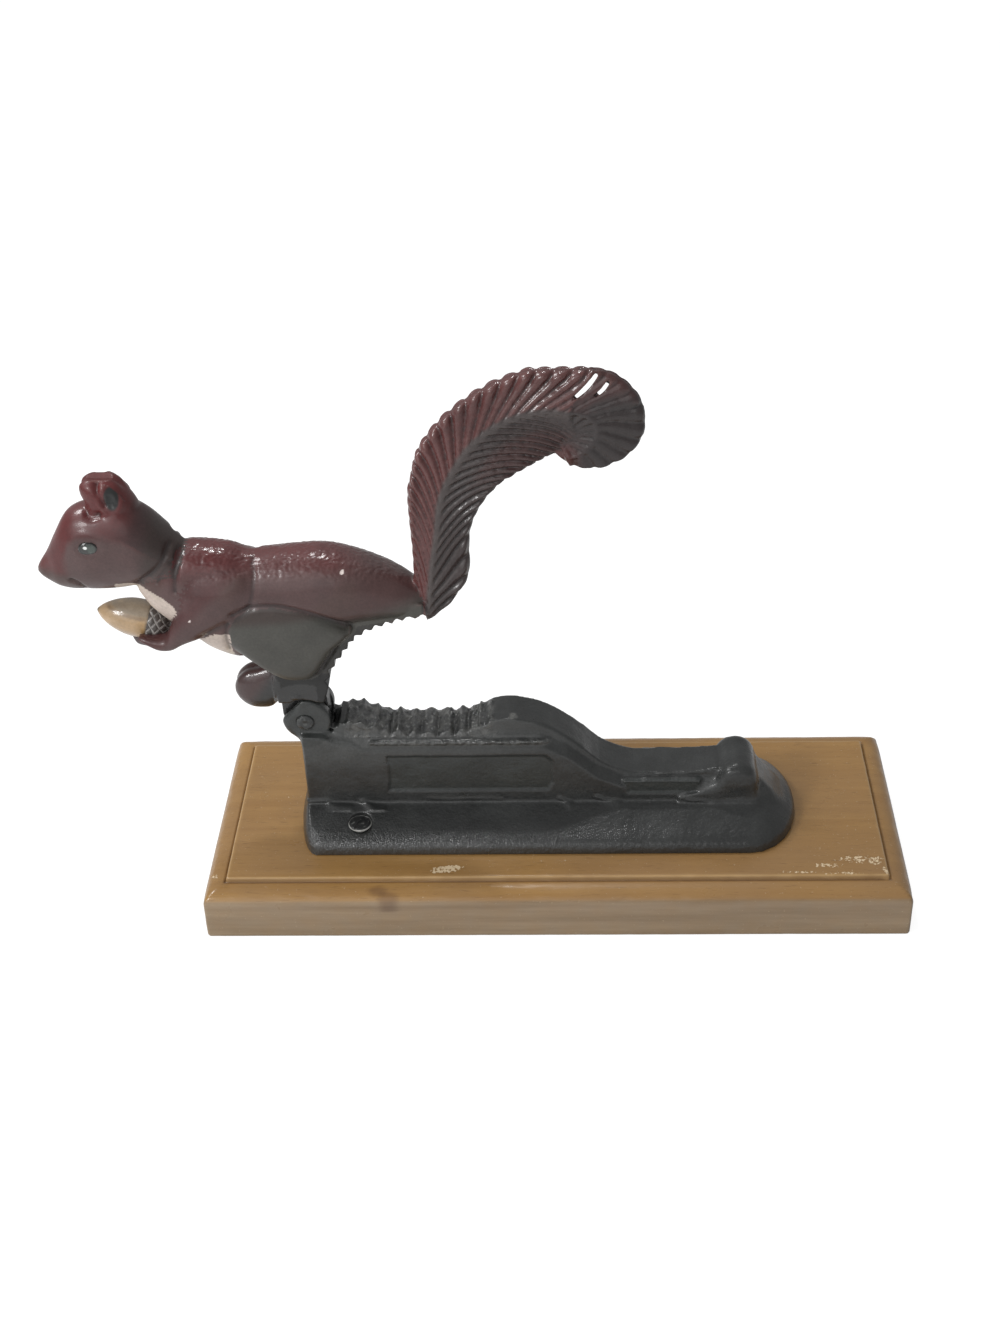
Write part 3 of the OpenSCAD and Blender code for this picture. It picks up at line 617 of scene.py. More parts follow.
def lever_parts():
    """The lever's sculpted parts, each with a name by which it is painted."""
    parts = [
        ("torso", loft(TORSO, BODY_HW, 2.3)),
        ("head", loft(HEAD, HEAD_HW, 2.2)),
        ("ears", loft(EAR_LOBE, HEAD_HW, 2.4)),
        ("haunch", pillow(HAUNCH, HAUNCH_HW)),
        ("tail", feather(TAIL, RIBS, MIDRIB_HW, MIDRIB_HW * 0.8, 1.0, (2.2, 2.7), (1.2, 3.9))),
        ("curl", feather(CURL, CURL_RIBS, MIDRIB_HW * 0.75, MIDRIB_HW * 0.6, 5.0, (2.7, 0.6),
                         (0, 0), 0.45, 0.9)),
        ("curl", loft(CURL_HEEL, 2.4, 2.1)),
    ]
    for turn in (False, True):
        limbs = [("arm", loft(ARM, ARM_HW, 2.2, -ARM_Y)),
                 ("foot", loft(FOOT, FOOT_HW, 2.2, -FOOT_Y))]
        for i, angle in enumerate(FINGER_TURN):
            v, f = loft(FINGER, 1, 2.1, 0, 24, 30)
            a = math.radians(angle)
            turned = np.stack([v[:, 0] * math.cos(a) - v[:, 1] * math.sin(a),
                               v[:, 0] * math.sin(a) + v[:, 1] * math.cos(a), v[:, 2]], -1)
            limbs.append(("hand", (turned + FINGER_ROOT + i * FINGER_STEP, f)))
        parts += [(n, mirrored(p)) if turn else (n, p) for n, p in limbs]
    return parts


def rib_slot(x, z, rise, half, wide):
    """A curved cutter between two ribs, sheared so that the slot opens towards the front."""
    v, faces = cylinder_y(0, 0, 1, -20, 20, 40)
    v = v * [half, 1, wide]
    v[:, 2] += 0.8 * (v[:, 0] / half) ** 2 - 0.4
    c, s = math.cos(math.radians(rise)), math.sin(math.radians(rise))
    up = z + v[:, 0] * s + v[:, 2] * c + SLOT_LEAN * v[:, 1]
    return np.stack([x + v[:, 0] * c - v[:, 2] * s, v[:, 1], up], -1), faces


def lever_mesh(parts, voxel):
    """Parts and leg joined into one skin, with the hinge clearances and hollows cut."""
    leg = boolean(cad_mesh("squirrel_lever"), prism(LEG_BOX, LEG_HW), "INTERSECT")
    whole = merged([part for _, part in parts] + [part_of(leg)])
    mesh = remeshed(mesh_of(whole), voxel)
    clear = EAR_R + SWING_GAP
    cutters = [cylinder_y(0, 0, clear, TONGUE_HW, 30), cylinder_y(0, 0, clear, -30, -TONGUE_HW),
               cylinder_y(0, 0, PIN_R + 0.08, -20, 20)]
    cutters += [rib_slot(*slot) for slot in RIB_SLOTS]
    cutters += [ellipsoid(np.multiply(EAR_HOLLOW, (1, s, 1)), (2.5, 3.4, 4.6)) for s in (-1, 1)]
    for cutter in cutters:
        mesh = boolean(mesh, cutter, "DIFFERENCE")
    return remeshed(mesh, voxel)


# Creases cut in both sides: the line, its width and its depth. The first few also get painted shade
# along them.
SHADED_CREASES = 7
CREASES = [
    ([(-17.5, 70.3), (-13.4, 68), (-11, 62), (-11.5, 55.8), (-13.8, 49.4), (-18.7, 45.4),
      (-29.6, 39.4)], 1.5, 0.55),
    ([(-33.4, 73), (-34.6, 68.5), (-36, 62.4), (-36.6, 56.5)], 1.3, 0.7),
    ([(-37.4, 71), (-39.6, 66.6), (-43.2, 62.6), (-48.3, 58.2)], 1.3, 0.8),
    ([(-37.2, 66.4), (-39.5, 63), (-42.4, 58.6)], 0.9, 0.35),
    ([(-18.5, 47.6), (-12.2, 50.6), (-4.2, 51.0), (3.7, 49.2), (10.5, 46.2), (18, 41.5)],
     1.3, 0.8),
    ([(-20.8, 44), (-21.8, 39.7), (-21.6, 33)], 1.0, 0.6),
    ([(0, 19.6), (5.6, 20.3), (9.4, 25.8), (13.2, 32)], 1.0, 0.8),
    ([(-70.4, 59.4), (-69, 58.8), (-67.8, 57.2), (-67.2, 55)], 0.9, 0.9),
    ([(-57.2, 95.5), (-57.6, 92), (-56.6, 88.6), (-55.6, 86.4)], 1.1, 0.9),
    ([(-62, 82.6), (-60.2, 82.2), (-58, 83)], 1.0, 0.7),
]


def sculpted_lever(mesh):
    """The lever's points after smoothing and carving, and how far each belongs to the tail."""
    ends = edge_ends(mesh)
    co = coords(mesh)
    x, z = co[:, 0], co[:, 2]
    hinge_near = np.hypot(x, z) < 13.5
    tail_share = step(z - 0.9 * (x - 40), 5, 12) * step(x, 36, 40)
    soft = np.where(hinge_near, 0.35, 1.0) * (1 - 0.75 * tail_share)
    soft = soft * np.where((x > 8) & (z < 46) & (z < 0.9 * x + 24), 0.5, 1.0)
    co = relaxed(co, ends, 7, soft)
    on_haunch = inside(co, HAUNCH) & (np.abs(co[:, 1]) > 8.5) & (z > 18)
    co = relaxed(co, ends, 70, on_haunch * 1.0, back=0)
    n = normals(mesh, co)
    x, y, z = co.T
    flank = step(np.abs(n[:, 1]), 0.12, 0.45)
    move = np.zeros(len(co))
    for path, width, depth in CREASES:
        move -= 1.15 * depth * np.exp(-(line_distance(co, path) / width) ** 2) * flank
    # Shallow eye sockets with a brow over each, cheeks, ear rims and the ears' parting
    for s in (-1, 1):
        eye = np.array([EYE[0], -s * EYE[1], EYE[2]])
        d = np.linalg.norm((co - eye) / [4.0, 5, 3.1], axis=1)
        move -= 0.3 * step(d, 1.3, 0.8)
        move += 0.22 * np.exp(-((d - 1.5) / 0.4) ** 2) * step(z, 72, 76)
        move += 0.5 * near(co, (-50, s * 10, 65), (11, 8, 8))
        rim = np.hypot((x + 53.6) / 3.4, (z - 87.9) / 5.1)
        move += 0.4 * np.exp(-((rim - 1) / 0.28) ** 2) * (y * s > 4)
    move -= 0.9 * np.exp(-(y / 1.6) ** 2) * step(z, 88, 92)
    free = ~hinge_near * (1 - 0.8 * tail_share)
    move += free * (0.14 * grain(co, 0.09, 3.0) + 0.05 * grain(co, 0.3, 8.0))
    # Beads and runs of paint along the back, a drip over the hinge
    ridge = step(n[:, 2], 0.3, 0.75) * step(z, 52, 60) * step(x, -36, -30) * (1 - tail_share)
    move += ridge * (0.10 * grain(co, 0.55, 2.0) + 0.16 * grain(co, 1.0, 6.0))
    move += 0.05 * tail_share * grain(co, 0.7, 4.0)
    move += 0.5 * near(co * [1, 0, 1], (-2, 0, 10.6), (3, 1, 1.6)) * flank
    return co + n * move[:, None], tail_share


def painted_body(co, labels):
    """The animal's colours by part and place, but for its tail."""
    x, y, z = co.T
    head, arm, foot, leg, torso = (labels[k] for k in ("head", "arm", "foot", "leg", "torso"))
    cream = (torso | head) & inside(co, CHEST) & (z < 58)
    cream = cream | torso & (x >= -36) & (x < -20.6) & (z < 40)
    head = head | labels["ears"]
    cheek = step(z - np.interp(x, *zip(*CROWN_LINE)), 2.0, -2.5) * step(x, -74, -69)
    flank = step(z - 0.04 * (x + 30), 66, 57) * ~head
    haunch = inside(co, HAUNCH) & (np.abs(y) > 9.8)
    hollow = near(co * [1, 0, 1], np.multiply(EAR_HOLLOW, (1, 0, 1)), (3.0, 1, 5.0))
    hollow = step(hollow * (np.abs(y) > 4.2), 0.02, 0.25)
    return layered(RED, [
        ((0.070, 0.014, 0.014), step(grain(co, 0.05, 9.0), -0.1, 0.5) * 0.8),
        # Red crown and muzzle over a cheek greyed by a painted sheen, brown behind the ears
        (PAINTED_SHEEN, head * cheek * 0.9),
        ((0.048, 0.022, 0.022), head * step(x - 0.4 * (z - 76), -56, -46) * (cheek <= 0.5)),
        ((0.036, 0.026, 0.022), head * step(x - 0.25 * (z - 76), -47, -41) * 0.7),
        ((0.050, 0.026, 0.020), head * step(x, -66, -72) * step(z, 64, 59) * 0.8),
        # The body: red along the back, greyed down its side by a painted sheen of reflected light
        (PAINTED_SHEEN, flank * 0.85),
        ((0.080, 0.044, 0.036), flank * step(grain(co, 0.07, 5.0), 0.0, 0.5) * 0.5),
        ((0.066, 0.030, 0.028), step(x, 14, 30) * step(z, 40, 50) * ~head * 0.6),
        (OLIVE, step(z - (38 + 0.24 * x), 6, -3) * (x > -4) * ~arm),
        (OLIVE, haunch),
        # Painted shade along the haunch's top, under the body's overhang
        ((0.044, 0.026, 0.022), haunch * step(z - 0.1 * x, 43.5, 47.5) * 0.8),
        # Limbs, black from the ankles down
        ((0.074, 0.022, 0.022), arm * step(x - z, -76, -82) * 0.9),
        ((0.046, 0.018, 0.018), labels["hand"] * 0.9),
        ((0.044, 0.019, 0.018), foot * 0.9),
        (BLACK, foot * step(x - 0.7 * (z - 12), -18, -11.5)),
        (BLACK, leg & (z < 20.5)),
        (BLACK, np.hypot(x, z) < 12.5),
        ((0.028, 0.026, 0.024), leg * step(z, 19, 22) * 0.8),
        # Cream chest and belly, and near-black painted shade in the ear hollows
        (CREAM, cream),
        ((0.42, 0.37, 0.27), cream * step(grain(co, 0.12, 4.0), 0.0, 0.5) * 0.6),
        ((0.014, 0.015, 0.015), hollow * labels["ears"]),
    ])


def painted_tail(co, curl):
    """The tail's colours, and how far each point lies outwards of the midrib: red leaves
    outside it, a dull band along it, dark leaves inside."""
    x, _, z = co.T
    run = spline([station[1] for station in TAIL], np.linspace(0, 1, 60))
    tangent = np.gradient(run, axis=0)
    k = np.hypot(x[:, None] - run[:, 0], z[:, None] - run[:, 1]).argmin(1)
    away = co[:, [0, 2]] - run[k]
    offset = tangent[k, 0] * away[:, 1] - tangent[k, 1] * away[:, 0]
    offset = offset / np.hypot(*tangent[k].T)
    round_curl = step(x, 90, 99) * step(z - 0.6 * (x - 92), 123, 112)
    return layered(TAIL_RED, [
        (TAIL_BAND, step(offset, 1.9, 0.5)),
        (TAIL_DARK, step(offset, -0.8, -2.4)),
        ((0.075, 0.026, 0.024), step(offset, -5, -9) * step(z, 84, 98) * 0.5),
        ((0.026, 0.018, 0.018), np.maximum(round_curl, curl * 0.75)),
        ((0.085, 0.024, 0.022), curl * step(x, 96, 90) * step(z, 106, 101)),
        ((0.075, 0.022, 0.020), step(z, 116, 124) * step(x, 86, 94) * 0.6),
    ]), offset


def painted_lever(co, n, ends, labels, tail_share):
    """Colours by part and place, with painted shade in the hollows and along the first creases,
    rubbed on the ridges, and gloss.
    """
    x, y, z = co.T
    tail = labels["tail"] | labels["curl"]
    leaves, offset = painted_tail(co, labels["curl"])
    c = np.where(((tail_share > 0.4) & tail)[:, None], leaves, painted_body(co, labels))
    hollows = cavity(co, n, ends)
    # Painted shade: darker in the hollows
    c = c * (1 - np.where(tail, 0.6, 0.4) * step(hollows, 0.006, 0.05))[:, None]
    ridge = step(hollows, -0.012, -0.05)
    wear_and_shade = [((0.16, 0.075, 0.066), ridge * tail * (offset > 1) * 0.5),
            ((0.13, 0.070, 0.062), ridge * ~tail * ~labels["leg"] * 0.35)]
    # Painted shade: dark lines along the first creases
    for path, width, depth in CREASES[:SHADED_CREASES]:
        line = step(line_distance(co, path), width * 0.8, width * 0.2) * (np.abs(n[:, 1]) > 0.3)
        wear_and_shade.append(((0.020, 0.012, 0.012), line * depth * 0.7))
    for cx, cz, size in PAINT_CHIPS:
        wear_and_shade.append(((0.80, 0.70, 0.66), (np.hypot(x - cx, z - cz) < size) & (y < -6)))
    gloss = 0.2 + 0.8 * np.maximum(step(n[:, 2], 0.72, 0.93) * ~labels["ears"], tail * 0.5)
    gloss = np.maximum(gloss, labels["foot"] | (np.hypot(x, z) < 16) & (x < 5))
    return np.column_stack([layered(c, wear_and_shade), gloss])


def part_labels(co, parts):
    """Which part each point belongs to, by the nearest vertex; far ones lie on the leg."""
    names = [name for name, (verts, _) in parts for _ in verts] + ["leg"]
    tree = kdtree.KDTree(len(names))
    places = [v for _, (verts, _) in parts for v in verts] + [(0, 0, 0)]
    for i, place in enumerate(places):
        tree.insert(place, i)
    tree.balance()
    found = [tree.find(p) for p in co.tolist()]
    kind = np.array(names)[[index for _, index, _ in found]]
    x, _, z = co.T
    leg = np.array([distance for *_, distance in found]) > 1.6
    leg = leg & (x > -10) & (x < 46) & (z < 48) & ~(inside(co, HAUNCH) & (z > 20.5))
    return {name: leg if name == "leg" else (kind == name) & ~leg for name in set(names)}


def build_squirrel():
    """The whole animal with its tongue and tail, as one painted casting."""
    parts = lever_parts()
    mesh = lever_mesh(parts, LEVER_VOXEL)
    co, tail_share = sculpted_lever(mesh)
    n = normals(mesh, co)
    colours = painted_lever(co, n, edge_ends(mesh), part_labels(co, parts), tail_share)
    return finished("squirrel_casting", mesh, co, RED_ENAMEL, "lever", ["squirrel_lever"],
                    paint={"paint": colours})


def build_acorn():
    """Nut and cross-hatched cap, held between the paws."""
    profiles = {
        "acorn_nut": [(0, 0.02), (0.015, 0.13), (0.09, 0.42), (0.22, 0.72), (0.38, 0.93),
                      (0.52, 1.0), (0.68, 0.97)],
        "acorn_cap": [(0.68, 1.1), (0.74, 1.12), (0.84, 1.02), (0.94, 0.72), (0.995, 0.3),
                      (1.0, 0.03)]}
    tilt = math.radians(90 + ACORN_TILT)
    axis = np.array([math.sin(tilt), 0, math.cos(tilt)])
    up = np.array([math.cos(tilt), 0, -math.sin(tilt)])
    tip = np.array([ACORN_TIP[0], 0, ACORN_TIP[1]])
    angle = around(96)
    for name, profile in profiles.items():
        cap = name == "acorn_cap"
        rings, tint = [], []
        for share, radius in spline(profile, np.linspace(0, 1, 60 if cap else 70)):
            lattice = np.zeros(len(angle))
            bump = 0.05 * np.sin(7 * angle + 3 * share) * radius
            if cap:
                twist = 9 * (share - 0.68) / 0.32
                lattice = np.maximum(np.abs(np.cos(6 * angle + twist)),
                                     np.abs(np.cos(6 * angle - twist))) ** 16
                bump = 0.32 * (0.5 - lattice) * min(1.0, radius * 1.6)
            r = np.clip(radius * ACORN_R + bump, 0.03, None)
            rings.append(tip + axis * share * ACORN_L
                         + np.outer(r * np.cos(angle), up) + np.outer(r * np.sin(angle), (0, 1, 0)))
            tint.append(lattice)
        mesh = mesh_of(skin(rings))
        co = coords(mesh)
        x, _, z = co.T
        if cap:
            lines = np.concatenate(tint) + 0.5 * grain(co, 0.8, 3.0)
            c = layered((0.066, 0.054, 0.048), [
                ((0.52, 0.49, 0.46), step(lines, 0.5, 0.95) * 0.9),
                ((0.10, 0.03, 0.03), step(z, 33.5, 31) * 0.8)])
        else:
            share = (co - tip) @ axis / ACORN_L
            high = z - (ACORN_TIP[1] + 0.27 * (ACORN_TIP[0] - x))
            c = layered((0.50, 0.34, 0.19), [
                # Painted reflection: paler and greyer on the underside
                ((0.56, 0.45, 0.36), step(high, -1.5, -4.5) * 0.9),
                ((0.44, 0.27, 0.11), step(share, 0.50, 0.62) * step(high, 4, 1) * 0.7),
                ((0.30, 0.25, 0.19), step(high, 3.2, 4.6) * 0.9),
                ((0.17, 0.12, 0.08), np.exp(-((high - 3.4) / 0.5) ** 2) * 0.6),
                ((0.16, 0.12, 0.08), step(share, 0.645, 0.67) * 0.8),
                ((0.12, 0.10, 0.07), step(share, 0.05, 0.0) * 0.8),
                ((0.64, 0.46, 0.29), step(grain(co, 0.25, 7.0), 0.1, 0.5) * 0.35)])
        finished(name, mesh, co, ACORN_PAINT, "lever", None,
                 paint={"paint": c})


def build_eyes():
    """Almond eyes: a dark rim, a grey-green ball and a dab of white."""
    angle = around(64)
    for side, name in ((-1, "eye_near"), (1, "eye_far")):
        rows, tint = [], []
        for r in np.linspace(0.02, 1, 26):
            almond = 1 - 0.22 * np.abs(np.sin(angle)) ** 1.3
            px = 3.2 * r * np.cos(angle) * (1 - 0.04 * np.sin(angle))
            pz = 2.75 * r * np.sin(angle) * almond
            bulge = 0.85 * math.sqrt(max(1 - 0.93 * r * r, 0)) - 0.5 * (r > 0.985)
            bulge += 0.16 * math.exp(-((r - 0.86) / 0.08) ** 2)
            rows.append(np.stack([EYE[0] + px, 0 * px + side * (-EYE[1] - 0.25 + bulge),
                                  EYE[2] + pz + 0.06 * px], -1))
            tint.append(np.full(len(angle), r))
        mesh = mesh_of(skin(rows))
        co = coords(mesh)
        px, pz = co[:, 0] - EYE[0], co[:, 2] - EYE[2]
        c = layered((0.050, 0.066, 0.056), [
            ((0.013, 0.014, 0.013), step(np.concatenate(tint), 0.66, 0.84)),
            ((0.011, 0.012, 0.011), step(px + 0.25 * pz, 0.5, -0.7)),
            ((0.88, 0.90, 0.88), step(np.hypot(px + 0.7, (pz - 0.55) * 1.2), 0.8, 0.5))])
        finished(name, mesh, co, EYE_GLASS, "lever", None,
                 paint={"paint": c})


# ---- base casting -----------------------------------------------------------------------

# Beads of metal between the teeth: x, y, radius, height. Then runs of it along the wall's foot.
JAW_BEADS = [(20.7, -3.3, 1.4, 0.8), (26, -3.3, 1.5, 1.0), (31.7, -4.6, 1.5, 1.1),
             (37.1, -5.4, 1.1, 0.9), (40.2, -1.4, 1.0, 0.8), (44.3, -4.6, 1.1, 0.9),
             (49.8, -3.4, 1.2, 0.9), (52.6, -0.6, 1.0, 0.9), (57.8, -2.4, 1.1, 0.8),
             (63, -4.2, 1.3, 0.9), (34.4, 2.6, 1.0, 0.7), (47.2, 1.6, 0.9, 0.7)]
FOOT_RUNS = [((-2.5, -33.4), (4.5, -33), (6, -34.2), (13.3, -34.8), 0.55),
             ((17, -33.2), (19.5, -34.4), (22, -35.2), (25, -35.3), 0.6),
             ((41.2, -32.4), (50, -32.6), (58, -32.5), (66, -33), 0.2),
             ((86.6, -32.6), (88, -33.4), (89, -34), (90, -34.4), 0.5),
             ((99.5, -32), (102, -33.2), (104.5, -33.8), (107, -34), 0.5),
             ((131, -33), (133, -33.2), (135, -33.2), (137, -33.6), 0.4)]
KNOB_RUN = [(121, -24), (128, -22.6), (134, -21.4), (144.9, -20.6)]


def recess(co, outline, depth):
    """Moves the wall's side inside an outline to a given depth below its face."""
    y = np.abs(co[:, 1])
    held = inside(co, outline) & (y > WALL_HW - 2.3) & (y < WALL_HW + 0.3)
    co[held, 1] = np.sign(co[held, 1]) * (WALL_HW - depth)


def base_skin(voxel):
    """The casting's skin. The source's two sunk panels are filled, to be set again shallower
    as the paint shows them, and paint fills the corner under the knob."""
    slope = (FLANGE_TOP - FLANGE_EDGE) / (FLANGE_HW - WALL_HW)
    low, foot = FLANGE_TOP - slope * (FILL_HW - WALL_HW), BASE_FOOT + 1.7
    wedge = [(-FILL_HW, foot), (FILL_HW, foot), (FILL_HW, low), (WALL_HW, FLANGE_TOP),
             (-WALL_HW, FLANGE_TOP), (-FILL_HW, low)]
    fillers = [prism(LONG_FILL, WALL_HW - 0.01), prism(SHORT_FILL, WALL_HW - 0.01),
               skin([[(x, y, z) for y, z in wedge] for x in FILL_RUN]),
               prism(KNOB_FOOT, KNOB_FOOT_HW)]
    whole = merged([part_of(cad_mesh("base_casting"))] + fillers)
    return remeshed(mesh_of(whole, outward=False), voxel)


def softened_base(co, ends, near_pin):
    """The base's points with its panels set and its corners rounded by sand and paint."""
    recess(co, LONG_PANEL, 0.5)
    recess(co, SHORT_PANEL, 0.45)
    co = relaxed(co, ends, 9, 1 - 0.7 * near_pin)
    x, y, z = co.T
    y = np.abs(y)
    soft = np.max([step(x, 18, 12) * step(z, -22, -14) * step(np.hypot(x, z), 9.4, 11),
                   step(x, 136, 142) * step(z, -43.4, -41),
                   step(y, 13.2, 12) * step(z, -37, -38.2) * 0.5,
                   step(z, -13, -11.5) * step(x, 16, 20) * step(z, -1, -3) * 0.5], axis=0)
    knob = step(np.hypot(x - KNOB[0], z - KNOB[1]), 13, 10) * step(y, 6.5, 9.5)
    edge = step(y, 18, 22) + step(x, 160, 164) + step(x, -1, -4)
    edge = np.clip(edge, 0, 1) * step(z, -44.3, -43.2)
    for rounds, where in ((20, soft), (40, knob), (90, edge)):
        co = relaxed(co, ends, rounds, where, back=0)
    return co


def roughened_base(co, n, near_pin):
    """The base's points with teeth, beads and grit, and where the lip and the jaw are."""
    x, y, z = co.T
    y_out = np.abs(y)
    free = (1 - near_pin) * (1 - step(z, -43.6, -44.4))
    upward = step(n[:, 2], 0.5, 0.8)
    move = free * (0.13 * grain(co, 0.07, 5.0) + 0.07 * grain(co, 0.25, 1.0))
    rim = np.maximum(step(y_out, 17, 23), 0.3) * step(z, -20, -32)
    move += free * (0.03 + 0.06 * rim) * (grain(co, 0.9, 2.0) + 0.8 * grain(co, 1.7, 7.0))
    # Uneven teeth across the jaw, worn low and lumpy, with beads of metal between them
    jaw = step(x, 12, 15) * step(x, 66, 62) * step(z, -9, -8) * (y_out < 7.6)
    line = np.stack([x, 0.25 * y, 0 * x], -1)
    t = (x - TOOTH_START + 1.1 * grain(line, 0.16, 8.0)) / TOOTH_PITCH
    ridge = np.abs(np.sin(math.pi * t)) ** 0.8
    size = 1 + 0.7 * grain(np.stack([np.floor(t) * 3.1, 0.12 * y, 0 * x], -1), 0.37, 4.0)
    middle = step(x, 29, 32) * step(x, 57, 54)
    rise = jaw * upward * ((ridge - 0.5) * 1.35 * size * middle + 0.4 * grain(co, 0.3, 3.0))
    move += jaw * (0.3 * grain(co, 0.4, 3.0) + 0.24 * grain(co, 0.85, 6.0))
    for bx, by, radius, high in JAW_BEADS:
        d = np.hypot(x - bx, (y_out - abs(by)) * 0.8)
        rise += high * step(d, 1.3 * radius, 0.1 * radius) * upward * (z > -9)
    for *path, high in FOOT_RUNS:
        move += high * np.exp(-(line_distance(co, path) / 0.8) ** 2) * (y_out < 13)
    # A raised, beaded lip along the top of the wall's side, and a run under the knob
    lip = np.exp(-((z + 8.2) / 0.85) ** 2) * step(x, 20, 23) * step(x, 85, 81) * (y_out > 7.2)
    move += 0.95 * (1 + 0.7 * grain(co, 0.9, 4.0)) * lip
    run = np.exp(-(line_distance(co, KNOB_RUN) / 0.8) ** 2)
    move += 0.4 * run * step(np.abs(n[:, 1]), 0.3, 0.7)
    made = co + n * move[:, None]
    made[:, 2] = np.maximum(made[:, 2] + rise, BASE_FOOT)
    return made, lip, jaw


def painted_base(smooth, side, co, n, ends, lip, jaw):
    """Black enamel, greyer where it is rubbed, darker with painted shade in its hollows, with a
    painted reflection on the wall's sides and the ear faces, painted highlights on the lip and
    painted glints on the teeth, and how gritty it is. Places are told by the smooth points from
    before the grit, and by which of them face sideways."""
    x, y, z = smooth.T
    y = np.abs(y)
    panels = (inside(co, LONG_PANEL) | inside(co, SHORT_PANEL)) & (y < WALL_HW + 0.2)
    c = layered((0.0262, 0.0275, 0.0270), [
        ((0.037, 0.039, 0.0385), step(grain(co, 0.12, 2.0), 0.0, 0.6) * 0.5),
        # Painted reflection: lighter on the upper sides of the wall
        ((0.060, 0.062, 0.060), side * step(z, -22, -12) * step(x, 90, 60) * 0.6),
        # Painted highlight along the lip
        ((0.13, 0.135, 0.13), lip * step(grain(co, 0.8, 5.0), -0.1, 0.3) * 0.6),
        # Painted reflection on the ear faces
        ((0.034, 0.037, 0.036), (np.hypot(x, z) < EAR_R + 0.2) & (y > 5.5)),
        ((0.026, 0.030, 0.029), panels),
        # Painted glints on the teeth
        ((0.078, 0.078, 0.072), jaw * step(grain(co, 0.45, 6.0), -0.2, 0.3) * 0.7)])
    # Painted shade: darker in the hollows
    hollows = cavity(co, n, ends)
    c = c * (1 - 0.35 * step(hollows, 0.01, 0.06))[:, None]
    worn = near(co, (71.2, -5, 1.2), (4.0, 4, 2.6)) + 0.25 * grain(co, 0.7, 1.0)
    c = layered(c, [((0.075, 0.075, 0.072), step(hollows, -0.03, -0.09) * 0.4),
                    ((0.16, 0.16, 0.15), step(worn, 0.3, 0.7) * 0.7)])
    # Grit: most along the flange's edge and the lip, least on the column and in the panels
    grit = np.max([0.22 + 0.78 * step(y, 15, 23) * step(z, -30, -36) * step(x, 150, 40),
                   0.55 * step(z, -33, -36) * step(x, 140, -20), lip, jaw * 0.8], axis=0)
    return np.column_stack([c, grit])


def build_base():
    """Flange, wall, jaw, hinge ears and knob, as one enamelled casting."""
    mesh = base_skin(BASE_VOXEL)
    ends = edge_ends(mesh)
    co = coords(mesh)
    near_pin = step(np.hypot(co[:, 0], co[:, 2]), 12.5, 9.5)
    smooth = softened_base(co, ends, near_pin)
    n = normals(mesh, smooth)
    side = step(np.abs(n[:, 1]), 0.3, 0.7)
    co, lip, jaw = roughened_base(smooth, n, near_pin)
    colours = painted_base(smooth, side, co, normals(mesh, co), ends, lip, jaw)
    return finished("base_enamelled", mesh, co, BLACK_ENAMEL, "base", ["base_casting"],
                    paint={"paint": colours})


def build_pin():
    """Pin with two hammered ends."""
    reach, rim = EAR_FACE + RIVET_OUT, PIN_R + 0.5
    half = [(0.02, reach - 0.25), (0.8, reach - 0.12), (1.5, reach), (2.2, reach - 0.12),
            (rim - 0.15, reach - 0.5), (rim, EAR_FACE + 0.35), (rim - 0.05, EAR_FACE - 0.1),
            (PIN_R, EAR_FACE - 0.2), (PIN_R, 0.0)]
    profile = spline(half, np.linspace(0, 1, 60))
    profile = np.vstack([profile * [1, -1], profile[::-1][1:]])
    a = around(64)
    rings = [np.stack([r * np.cos(a), np.full(len(a), y), r * np.sin(a)], -1) for r, y in profile]
    mesh = mesh_of(skin(rings))
    co = coords(mesh)
    out = np.abs(co[:, 1]) > EAR_FACE
    co[:, 1] *= 1 - 0.02 * out * (0.5 + grain(co, 0.5, 4.0))
    c = mix((0.030, 0.032, 0.032), (0.11, 0.115, 0.11), step(grain(co, 0.9, 2.0), 0.05, 0.5) * 0.6)
    finished("hinge_rivet", mesh, co, DARK_STEEL, "base", ["hinge_pin"],
             paint={"paint": c})


